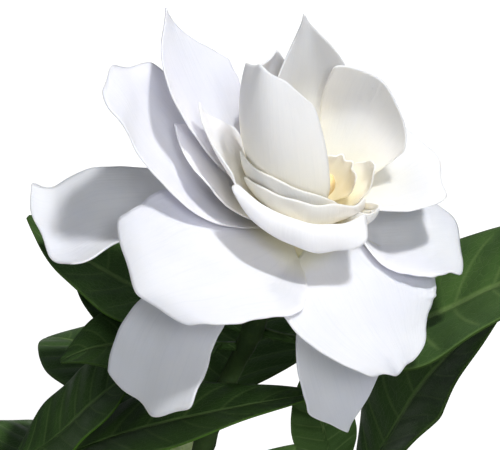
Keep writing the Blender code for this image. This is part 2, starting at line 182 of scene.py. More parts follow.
def open_sky():
    """A sky that lights the plant in faint blue and looks plain white to the camera."""
    world = bpy.data.worlds.new("studio_sky")
    world.use_nodes = True
    nodes, links = world.node_tree.nodes, world.node_tree.links
    faint_blue = nodes["Background"]
    faint_blue.inputs["Color"].default_value = SKY_COLOUR
    faint_blue.inputs["Strength"].default_value = SKY_STRENGTH
    plain_white = nodes.new("ShaderNodeBackground")
    plain_white.inputs["Color"].default_value = WHITE
    plain_white.inputs["Strength"].default_value = 1.0
    path = nodes.new("ShaderNodeLightPath")
    pick = nodes.new("ShaderNodeMixShader")
    links.new(path.outputs["Is Camera Ray"], pick.inputs["Fac"])
    links.new(faint_blue.outputs["Background"], pick.inputs[1])
    links.new(plain_white.outputs["Background"], pick.inputs[2])
    links.new(pick.outputs["Shader"], nodes["World Output"].inputs["Surface"])
    bpy.context.scene.world = world


pale_floor()
for lamp_name, lamp_row in LAMPS.items():
    soft_lamp(lamp_name, *lamp_row)
open_sky()
print("lamps:", len(LAMPS), "sky strength:", SKY_STRENGTH)

# %% [markdown]
# ## Small tools
#
# Every blade of the plant starts as the same thing a modeller would add by hand: a grid. Its
# points are then moved by a rule that takes the place along the blade and across it. Because the
# grid brings its own UV map, the veins can later follow the blade whatever its shape.

# %% Tools for grids and tables
SEAM_WELD = 0.000002
FINE_STEPS = 400


def clear_selection():
    """Nothing selected, nothing in edit mode."""
    bpy.ops.object.select_all(action="DESELECT")


def pick_only(obj):
    """Only this piece selected and active."""
    clear_selection()
    obj.select_set(True)
    bpy.context.view_layer.objects.active = obj


def edit_all(obj):
    """Open this piece in edit mode with everything selected."""
    pick_only(obj)
    bpy.ops.object.mode_set(mode="EDIT")
    bpy.ops.mesh.select_all(action="SELECT")


def grid_piece(name, rows, columns, shape):
    """A grid primitive whose points are placed by shape(u, v), u along 0..1 and v across -1..1."""
    clear_selection()
    bpy.ops.mesh.primitive_grid_add(x_subdivisions=columns, y_subdivisions=rows, size=2, calc_uvs=True)
    obj = bpy.context.object
    obj.name = name
    obj.data.name = name
    flat = np.empty(len(obj.data.vertices) * 3)
    obj.data.vertices.foreach_get("co", flat)
    flat = flat.reshape(-1, 3)
    placed = shape((flat[:, 1] + 1) / 2, flat[:, 0])
    obj.data.vertices.foreach_set("co", placed.astype(np.float32).ravel())
    obj.data.update()
    return obj


def apply_modifier(obj, kind, **values):
    """Add one modifier with these values and apply it."""
    mod = obj.modifiers.new(kind.lower(), kind)
    for key, value in values.items():
        setattr(mod, key, value)
    pick_only(obj)
    bpy.ops.object.modifier_apply(modifier=mod.name)


def faces_outward(obj):
    """Turn all faces outward and shade them smooth."""
    edit_all(obj)
    bpy.ops.mesh.normals_make_consistent(inside=False)
    bpy.ops.object.mode_set(mode="OBJECT")
    bpy.ops.object.shade_smooth()


def close_tube(obj):
    """Weld a rolled-up grid along its seam and close its two ends."""
    edit_all(obj)
    bpy.ops.mesh.remove_doubles(threshold=SEAM_WELD)
    bpy.ops.mesh.select_all(action="SELECT")
    bpy.ops.mesh.fill_holes(sides=0)
    bpy.ops.object.mode_set(mode="OBJECT")


def join_pieces(target, others):
    """Join other meshes into the target."""
    clear_selection()
    for obj in others:
        obj.select_set(True)
    target.select_set(True)
    bpy.context.view_layer.objects.active = target
    bpy.ops.object.join()


def finish_piece(obj, nodes):
    """Every finished piece rides on the one body and stands for its CAD nodes."""
    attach(obj, "root")
    if nodes:
        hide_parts(*nodes)


def curve_through(points, count=161):
    """Smooth curve through the points, evenly spaced by length."""
    p = np.array(points, float)
    step = np.linalg.norm(np.diff(p, axis=0), axis=1)
    t = np.concatenate([[0.0], np.cumsum(step)])
    slope = np.empty_like(p)
    slope[1:-1] = (p[2:] - p[:-2]) / (t[2:] - t[:-2])[:, None]
    slope[0] = 2 * (p[1] - p[0]) / step[0] - slope[1]
    slope[-1] = 2 * (p[-1] - p[-2]) / step[-1] - slope[-2]
    x = np.linspace(0, t[-1], FINE_STEPS)
    i = np.clip(np.searchsorted(t, x, side="right") - 1, 0, len(step) - 1)
    h = step[i][:, None]
    s = ((x - t[i]) / step[i])[:, None]
    q = (2 * s**3 - 3 * s**2 + 1) * p[i] + (s**3 - 2 * s**2 + s) * h * slope[i]
    q = q + (3 * s**2 - 2 * s**3) * p[i + 1] + (s**3 - s**2) * h * slope[i + 1]
    run = np.concatenate([[0.0], np.cumsum(np.linalg.norm(np.diff(q, axis=0), axis=1))])
    even = np.linspace(0, run[-1], count)
    return np.stack([np.interp(even, run, q[:, k]) for k in range(3)], axis=1)


def along(rows, s):
    """Values of a table with one row per even step, read at s from 0 to 1."""
    steps = np.linspace(0, 1, len(rows))
    return np.stack([np.interp(s, steps, rows[:, k]) for k in range(rows.shape[1])], axis=-1)


def blade_frame(around, spine):
    """Centre line of a blade with its cross and upper directions."""
    a = math.radians(around)
    out = np.array([math.cos(a), math.sin(a), 0])
    side = np.array([-math.sin(a), math.cos(a), 0])
    up = np.array([0, 0, 1])
    mid = curve_through([out * p[0] + up * p[1] + side * (p[2] if len(p) > 2 else 0) for p in spine])
    run = np.gradient(mid, axis=0)
    run /= np.linalg.norm(run, axis=1)[:, None]
    cross = side - (run @ side)[:, None] * run
    cross /= np.linalg.norm(cross, axis=1)[:, None]
    return mid, cross, np.cross(run, cross)


print("tools ready")

# %% [markdown]
# ## Finishes
#
# Effects that several materials share are node groups with named inputs: the lengthwise veins
# and crinkle of a petal, the midrib and side veins of a leaf, and the soft mottling of clay,
# bark and soil. Each group only puts out colours, masks and heights. The shader stays in each
# material, with its fixed values set on its own sockets.

# %% Node group tools


class Recipe:
    """Shorthand for adding and linking the nodes of one tree."""

    def __init__(self, tree):
        self.tree = tree

    def add(self, kind, **values):
        node = self.tree.nodes.new(kind)
        for key, value in values.items():
            setattr(node, key, value)
        return node

    def link(self, out, into):
        if hasattr(out, "links"):
            self.tree.links.new(out, into)
        else:
            into.default_value = out

    def math(self, operation, a, b=None, clamp=False):
        node = self.add("ShaderNodeMath", operation=operation, use_clamp=clamp)
        self.link(a, node.inputs[0])
        if b is not None:
            self.link(b, node.inputs[1])
        return node.outputs[0]

    def ramp(self, value, low, high, start=0.0, stop=1.0):
        """Smooth step of a value between two limits."""
        node = self.add("ShaderNodeMapRange", interpolation_type="SMOOTHSTEP")
        self.link(value, node.inputs["Value"])
        node.inputs["From Min"].default_value = low
        node.inputs["From Max"].default_value = high
        node.inputs["To Min"].default_value = start
        node.inputs["To Max"].default_value = stop
        return node.outputs["Result"]

    def mix(self, factor, a, b, blend="MIX"):
        node = self.add("ShaderNodeMix", data_type="RGBA", blend_type=blend)
        self.link(factor, node.inputs[0])
        self.link(a, node.inputs[6])
        self.link(b, node.inputs[7])
        return node.outputs[2]

    def noise(self, where, scale, detail=3.0, rough=0.5):
        node = self.add("ShaderNodeTexNoise")
        self.link(where, node.inputs["Vector"])
        node.inputs["Scale"].default_value = scale
        node.inputs["Detail"].default_value = detail
        node.inputs["Roughness"].default_value = rough
        return node.outputs["Fac"]

    def stretch(self, where, x, y, z):
        node = self.add("ShaderNodeMapping")
        self.link(where, node.inputs["Vector"])
        node.inputs["Scale"].default_value = (x, y, z)
        return node.outputs["Vector"]


def new_group(name, inputs, outputs):
    """An empty shader group with named sockets; returns its recipe, inputs and outputs."""
    tree = bpy.data.node_groups.new(name, "ShaderNodeTree")
    for label, kind, value in inputs:
        socket = tree.interface.new_socket(label, in_out="INPUT", socket_type=kind)
        socket.default_value = value
    for label, kind in outputs:
        tree.interface.new_socket(label, in_out="OUTPUT", socket_type=kind)
    recipe = Recipe(tree)
    return recipe, recipe.add("NodeGroupInput").outputs, recipe.add("NodeGroupOutput").inputs


COLOUR, NUMBER = "NodeSocketColor", "NodeSocketFloat"
print("node tools ready")

# %% Petal group


def petal_group():
    """Cream claw that is partly painted warm glow, cool face, fine lengthwise veins and a soft crinkle."""
    r, given, out = new_group(
        "petal_skin",
        [("Face Colour", COLOUR, (1, 1, 1, 1)), ("Claw Cream And Glow Colour", COLOUR, (1, 0.9, 0.6, 1)),
         ("Cream And Glow Reach", NUMBER, 0.3), ("Vein Strength", NUMBER, 0.5), ("Tint", NUMBER, 0.3)],
        [("Color", COLOUR), ("Height", NUMBER), ("Roughness", NUMBER)])
    coords = r.add("ShaderNodeTexCoord")
    split = r.add("ShaderNodeSeparateXYZ")
    r.link(coords.outputs["UV"], split.inputs[0])
    length = split.outputs["Y"]
    veins = r.noise(r.stretch(coords.outputs["UV"], 46, 2.2, 1), 1.0, 4.0, 0.6)
    fine = r.noise(r.stretch(coords.outputs["UV"], 120, 9, 1), 1.0, 2.0, 0.5)
    crinkle = r.noise(coords.outputs["Object"], 190, 3.0, 0.55)
    broad = r.noise(coords.outputs["Object"], 45, 2.0, 0.5)
    wander = r.math("ADD", length, r.math("MULTIPLY", r.math("SUBTRACT", broad, 0.5), 0.25))
    # The cream spreading from the claw is partly the petal's own tone and partly painted warm glow.
    reach = r.math("DIVIDE", wander, given["Cream And Glow Reach"])
    cream_and_glow = r.ramp(reach, 1.15, 0.25)
    base = r.mix(cream_and_glow, given["Face Colour"], given["Claw Cream And Glow Colour"])
    tint = r.math("MULTIPLY", r.ramp(broad, 0.4, 0.72), given["Tint"])
    tinted = r.mix(tint, base, (0.78, 0.79, 0.95, 1), "MULTIPLY")
    vein_mask = r.math("MULTIPLY", r.ramp(veins, 0.5, 0.68), given["Vein Strength"])
    r.link(r.mix(r.math("MULTIPLY", vein_mask, 0.22), tinted, (0.72, 0.75, 0.8, 1), "MULTIPLY"), out["Color"])
    height = r.math("ADD", r.math("MULTIPLY", veins, 0.5), r.math("MULTIPLY", fine, 0.2))
    r.link(r.math("ADD", height, r.math("MULTIPLY", crinkle, 0.35)), out["Height"])
    r.link(r.ramp(crinkle, 0.2, 0.8, 0.42, 0.62), out["Roughness"])
    return r.tree


PETAL_SKIN = petal_group()
print("petal group has", len(PETAL_SKIN.nodes), "nodes")

# %% [markdown]
# A gardenia leaf is dark, stiff and shiny. Its pale midrib runs to the tip and eight or so
# pairs of side veins sweep forward from it, with the blade puffed up a little between them. All
# of that is a rule in the leaf's own UV map: across is the distance from the midrib, and a side
# vein is a line where length minus a part of that distance keeps the same value.

# %% Leaf group


def leaf_group():
    """Midrib, side veins and quilting of a leaf, from its UV map."""
    r, given, out = new_group(
        "leaf_skin",
        [("Blade Colour", COLOUR, (0.03, 0.1, 0.02, 1)), ("Vein Colour", COLOUR, (0.2, 0.4, 0.1, 1)),
         ("Young Colour", COLOUR, (0.1, 0.25, 0.03, 1)), ("Pairs", NUMBER, 9.0), ("Contrast", NUMBER, 0.6)],
        [("Color", COLOUR), ("Height", NUMBER), ("Roughness", NUMBER)])
    coords = r.add("ShaderNodeTexCoord")
    split = r.add("ShaderNodeSeparateXYZ")
    r.link(coords.outputs["UV"], split.inputs[0])
    across = r.math("ABSOLUTE", r.math("MULTIPLY", r.math("SUBTRACT", split.outputs["X"], 0.5), 2.0))
    length = split.outputs["Y"]
    midrib = r.ramp(across, 0.085, 0.02)
    sweep = r.math("SUBTRACT", length, r.math("MULTIPLY", r.math("POWER", across, 1.3), 0.13))
    phase = r.math("FRACT", r.math("MULTIPLY", sweep, given["Pairs"]))
    off = r.math("ABSOLUTE", r.math("SUBTRACT", phase, 0.5))
    side_vein = r.math("MULTIPLY", r.ramp(off, 0.09, 0.0), r.ramp(across, 0.98, 0.75))
    veins = r.math("MAXIMUM", midrib, r.math("MULTIPLY", side_vein, 0.55))
    net = r.add("ShaderNodeTexVoronoi", feature="DISTANCE_TO_EDGE")
    r.link(r.stretch(coords.outputs["UV"], 22, 46, 1), net.inputs["Vector"])
    net.inputs["Scale"].default_value = 1.0
    mesh = r.ramp(net.outputs["Distance"], 0.07, 0.0)
    patch = r.noise(coords.outputs["Object"], 38, 3.0, 0.55)
    blade = r.mix(r.ramp(patch, 0.38, 0.7), given["Blade Colour"], given["Young Colour"])
    edge = r.math("MULTIPLY", r.ramp(across, 0.93, 0.995), 0.35)
    rimmed = r.mix(edge, blade, given["Vein Colour"])
    meshed = r.mix(r.math("MULTIPLY", mesh, 0.14), rimmed, given["Vein Colour"])
    r.link(r.mix(r.math("MULTIPLY", veins, given["Contrast"]), meshed, given["Vein Colour"]), out["Color"])
    puff = r.math("MULTIPLY", r.ramp(off, 0.0, 0.45), 0.8)
    fine = r.math("MULTIPLY", r.math("SUBTRACT", 1.0, mesh), 0.12)
    r.link(r.math("SUBTRACT", r.math("ADD", puff, fine), r.math("MULTIPLY", midrib, 0.9)), out["Height"])
    r.link(r.ramp(r.noise(coords.outputs["Object"], 120, 2.0), 0.25, 0.8, 0.3, 0.46), out["Roughness"])
    return r.tree


LEAF_SKIN = leaf_group()
print("leaf group has", len(LEAF_SKIN.nodes), "nodes")

# %% Mottle group for clay, bark, bud and soil


def mottle_group():
    """Two colours mixed by broad noise, with fine specks and upright streaks of a third."""
    r, given, out = new_group(
        "mottle",
        [("Colour A", COLOUR, (0.5, 0.3, 0.2, 1)), ("Colour B", COLOUR, (0.4, 0.2, 0.1, 1)),
         ("Stain", COLOUR, (0.8, 0.7, 0.6, 1)), ("Scale", NUMBER, 30.0), ("Stain Amount", NUMBER, 0.2),
         ("Grain", NUMBER, 1.0)],
        [("Color", COLOUR), ("Height", NUMBER), ("Roughness", NUMBER)])
    coords = r.add("ShaderNodeTexCoord")
    where = coords.outputs["Object"]
    broad = r.add("ShaderNodeTexNoise")
    r.link(where, broad.inputs["Vector"])
    r.link(given["Scale"], broad.inputs["Scale"])
    broad.inputs["Detail"].default_value = 5.0
    broad.inputs["Roughness"].default_value = 0.62
    fine = r.add("ShaderNodeTexNoise")
    r.link(where, fine.inputs["Vector"])
    r.link(r.math("MULTIPLY", given["Scale"], 11.0), fine.inputs["Scale"])
    fine.inputs["Detail"].default_value = 4.0
    stain = r.noise(r.stretch(coords.outputs["Object"], 1, 1, 0.35), 24, 5.0, 0.7)
    body = r.mix(r.ramp(broad.outputs["Fac"], 0.35, 0.68), given["Colour A"], given["Colour B"])
    speck = r.mix(r.math("MULTIPLY", r.ramp(fine.outputs["Fac"], 0.55, 0.75), 0.35), body, given["Stain"])
    amount = r.math("MULTIPLY", r.ramp(stain, 0.52, 0.74), given["Stain Amount"])
    r.link(r.mix(amount, speck, given["Stain"]), out["Color"])
    grain = r.math("MULTIPLY", fine.outputs["Fac"], given["Grain"])
    r.link(r.math("ADD", r.math("MULTIPLY", broad.outputs["Fac"], 0.5), grain), out["Height"])
    r.link(r.ramp(fine.outputs["Fac"], 0.3, 0.75, 0.7, 0.95), out["Roughness"])
    return r.tree


MOTTLE = mottle_group()
print("mottle group has", len(MOTTLE.nodes), "nodes")

# %% [markdown]
# ## Materials
#
# A petal is soft and lets light through, so it has subsurface scattering with a short radius. A
# leaf has a faint waxy gloss. Clay, bark and soil are matt. The petals turn from cool white at
# the outside to warm cream at the heart. The inner and heart petals are made paler than the
# outer ones, which is painted light for the bright heart of the bloom, and the cream at each
# claw is partly painted warm glow. The dark green of the old leaves and shoots is partly
# painted shade, and the brighter young leaves are partly painted sunlight.

# %% Make the materials


def finish(name, group, bump, bump_depth, shader_values, group_values):
    """A material with one group feeding colour, roughness and bump."""
    mat = bpy.data.materials.new(name)
    mat.use_nodes = True
    recipe = Recipe(mat.node_tree)
    shader = mat.node_tree.nodes["Principled BSDF"]
    skin = recipe.add("ShaderNodeGroup", node_tree=group)
    for key, value in group_values.items():
        skin.inputs[key].default_value = value
    for key, value in shader_values.items():
        shader.inputs[key].default_value = value
    relief = recipe.add("ShaderNodeBump")
    relief.inputs["Strength"].default_value = bump
    relief.inputs["Distance"].default_value = bump_depth
    recipe.link(skin.outputs["Height"], relief.inputs["Height"])
    recipe.link(skin.outputs["Color"], shader.inputs["Base Color"])
    recipe.link(skin.outputs["Roughness"], shader.inputs["Roughness"])
    recipe.link(relief.outputs["Normal"], shader.inputs["Normal"])
    return mat


SOFT = {"Subsurface Weight": 0.85, "Subsurface Radius": (1.0, 0.92, 0.8), "Subsurface Scale": 0.0022,
        "Specular IOR Level": 0.25}
WAXY = {"Specular IOR Level": 0.06}
MATT = {"Specular IOR Level": 0.25}


PETAL_BUMP = (0.35, 0.0004)
LEAF_BUMP_DEPTH = 0.0007


def opaque(colour):
    """A colour with its fourth value."""
    return (*colour, 1.0)


def petal_finish(name, face, claw_and_glow, reach, veins, tint):
    return finish(name, PETAL_SKIN, *PETAL_BUMP, SOFT,
                  {"Face Colour": opaque(face), "Claw Cream And Glow Colour": opaque(claw_and_glow), "Cream And Glow Reach": reach,
                   "Vein Strength": veins, "Tint": tint})


def leaf_finish(name, blade, young, vein, contrast, bump):
    return finish(name, LEAF_SKIN, bump, LEAF_BUMP_DEPTH, WAXY,
                  {"Blade Colour": opaque(blade), "Young Colour": opaque(young),
                   "Vein Colour": opaque(vein), "Contrast": contrast})


def mottled(name, bump, depth, surface, first, second, stain, scale, stain_amount, grain):
    return finish(name, MOTTLE, bump, depth, surface,
                  {"Colour A": opaque(first), "Colour B": opaque(second), "Stain": opaque(stain),
                   "Scale": scale, "Stain Amount": stain_amount, "Grain": grain})


FINISH = {
    "outer": petal_finish("petal_outer", (0.86, 0.86, 0.92), (0.8, 0.82, 0.66), 0.22, 0.55, 0.35),
    "middle": petal_finish("petal_middle", (0.88, 0.87, 0.94), (0.9, 0.86, 0.66), 0.2, 0.45, 0.35),
    # The inner and heart finishes are paler than the outer and middle ones as painted light for the bright
    # heart of the bloom; their far-reaching cream is partly painted warm glow.
    "inner": petal_finish("petal_inner", (0.94, 0.93, 0.95), (0.97, 0.91, 0.7), 0.75, 0.35, 0.15),
    "heart": petal_finish("petal_heart", (0.97, 0.94, 0.86), (0.97, 0.82, 0.5), 0.8, 0.3, 0.05),
    # The old leaves' very dark green is partly painted shade, darkened for the deep shade under the flower.
    "leaf": leaf_finish("leaf_upper", (0.005, 0.017, 0.002), (0.013, 0.04, 0.006),
                        (0.07, 0.13, 0.025), 0.42, 0.5),
    # The brighter young leaves are partly truly young and partly painted sunlight shining through the leaves.
    "young_sunlit_leaf": leaf_finish("leaf_young_sunlit", (0.014, 0.048, 0.004), (0.032, 0.1, 0.008),
                              (0.12, 0.24, 0.035), 0.42, 0.4),
    "leaf_back": leaf_finish("leaf_under", (0.04, 0.085, 0.022), (0.06, 0.12, 0.03),
                             (0.14, 0.22, 0.07), 0.7, 0.6),
    "clay": mottled("clay", 0.35, 0.0005, MATT, (0.42, 0.165, 0.085), (0.5, 0.22, 0.12),
                    (0.62, 0.45, 0.34), 22.0, 0.35, 0.5),
    "bark": mottled("bark", 0.6, 0.0006, MATT, (0.11, 0.085, 0.045), (0.19, 0.155, 0.085),
                    (0.3, 0.27, 0.18), 160.0, 0.4, 0.8),
    # The shoot green on stems and calyx is partly painted shade, darkened for the deep shade under the
    # flower.
    "shoot": mottled("shoot", 0.3, 0.0003, MATT, (0.018, 0.04, 0.008), (0.035, 0.07, 0.014),
                     (0.07, 0.09, 0.03), 120.0, 0.3, 0.5),
    "bud": mottled("bud", 0.25, 0.0003, SOFT, (0.38, 0.5, 0.2), (0.6, 0.68, 0.38),
                   (0.8, 0.82, 0.6), 70.0, 0.2, 0.3),
    "stigma": mottled("stigma", 0.5, 0.0004, SOFT, (0.88, 0.62, 0.28), (0.92, 0.74, 0.42),
                      (0.95, 0.88, 0.62), 260.0, 0.3, 0.8),
    "soil": mottled("soil", 1.0, 0.002, MATT, (0.028, 0.018, 0.012), (0.07, 0.045, 0.028),
                    (0.12, 0.08, 0.05), 90.0, 0.5, 1.0),
    "chip": mottled("bark_chip", 0.8, 0.001, MATT, (0.1, 0.05, 0.025), (0.2, 0.11, 0.055),
                    (0.3, 0.2, 0.12), 140.0, 0.3, 0.8),
    "perlite": mottled("perlite", 0.6, 0.0008, MATT, (0.72, 0.71, 0.67), (0.83, 0.82, 0.79),
                       (0.5, 0.45, 0.38), 200.0, 0.3, 0.8),
}
print("finishes:", ", ".join(sorted(FINISH)))

# %% [markdown]
# ## Petals
#
# An open petal follows a spine from the heart outwards and is cupped across it. Its margins
# ruffle, its end can be cut on a slant or curl up, and a bay can narrow one side. An inner petal
# wraps round the flower's axis like a slice of a turned cup. Both rules place a point from its
# length u and side v, so either can shape a grid. Sizes in these tables are millimetres and
# degrees, and a spine is (reach, height, drift) from the heart along the flower's axis.

# %% Petal rules
EDGE_NICKS = 0.012
EDGE_UNEVEN = 0.022
BAY_PLACE = 0.55
BAY_LENGTH = 0.2
CURL_START = 0.86
SIDE_PHASE = 2.1


def station(u, v, drop, tip, slant):
    """Length along a petal whose end is rounded by drop and cut by slant."""
    cut = drop * np.abs(v) ** tip + abs(slant) * (1 + np.sign(slant) * v) / 2
    return u * (1 - u * cut)


def uneven(phase, amount):
    """Small natural unevenness of a margin."""
    return amount * (np.sin(phase) + 0.5 * np.sin(2.7 * phase + 1.0))


def open_petal(u, v, around, spine, width, base=4, widest=.6, end=.6, drop=.25, tip=2, cup=(20, 20),
               roll=(0, 0), slant=0, ruffle=(0, 1, 0), crease=0, curl=0, bay=0):
    """Points of a blade that follows a spine and is cupped across it."""
    mid, cross, inner = blade_frame(around, spine)
    s = station(u, v, drop, tip, slant)
    s = s * (1 - EDGE_NICKS * u**4 * (1 + np.sin(7 * v + around)))
    c, sd, nm = along(mid, s), along(cross, s), along(inner, s)
    turn = np.radians(roll[0] + (roll[1] - roll[0]) * s)[..., None]
    sd, nm = np.cos(turn) * sd + np.sin(turn) * nm, np.cos(turn) * nm - np.sin(turn) * sd
    rise = np.sin(np.pi / 2 * np.clip(s / widest, 0, 1)) ** 1.3
    ends = end if isinstance(end, tuple) else (end, end)
    narrow = (1 - np.where(v < 0, ends[0], ends[1])) * np.clip((s - widest) / (1 - widest), 0, 1) ** 2
    half = (base + (width - base) * rise) / 2 * (1 - narrow)
    half = half * (1 - bay * (v > 0) * np.exp(-(((s - BAY_PLACE) / BAY_LENGTH) ** 2)))
    half = half * (1 + uneven(s * 23 + around + 2 * (v < 0), EDGE_UNEVEN))
    bend = np.maximum(np.radians(cup[0] + (cup[1] - cup[0]) * s), 0.001)
    x = half * np.sin(bend * v) / bend
    n = half * (1 - np.cos(bend * v)) / bend
    amount, waves, phase = ruffle
    wave = np.sin(2 * np.pi * waves * s + np.radians(phase) + SIDE_PHASE * (v < 0))
    n = n + amount * s**2 * np.abs(v) ** 2 * wave
    n = n + amount * 0.8 * s**5 * (1 - np.abs(v)) * np.sin(np.pi * waves * v + np.radians(phase))
    n = n + crease * s * (np.sqrt(x * x + 0.6) - 0.77)
    n = n + curl * np.clip((u - CURL_START) / (1 - CURL_START), 0, 1) ** 2
    return c + sd * x[..., None] + nm * n[..., None]


def cup_petal(u, v, around, spine, spread, drop=.2, tip=2, slant=0, lean=(0, 0), squash=1,
              ruffle=(0, 1, 0)):
    """Points of a blade that wraps round the flower's axis, leaning with height."""
    line = curve_through([(p[0], 0, p[1]) for p in spine])
    s = station(u, v, drop, tip, slant)
    angle = np.radians(around + v * np.interp(s, np.linspace(0, 1, len(spread)), spread))
    at = along(line, s)
    amount, waves, phase = ruffle
    reach = at[..., 0] + amount * s**3 * np.sin(np.pi * waves * v + np.radians(phase))
    height = at[..., 2] + 0.6 * amount * s**4 * np.sin(np.pi * waves * v * 1.3 + np.radians(phase) + 1.0)
    return np.stack([reach * np.cos(angle) + lean[0] * height,
                     squash * reach * np.sin(angle) + lean[1] * height, height], axis=-1)


print("petal rules ready")

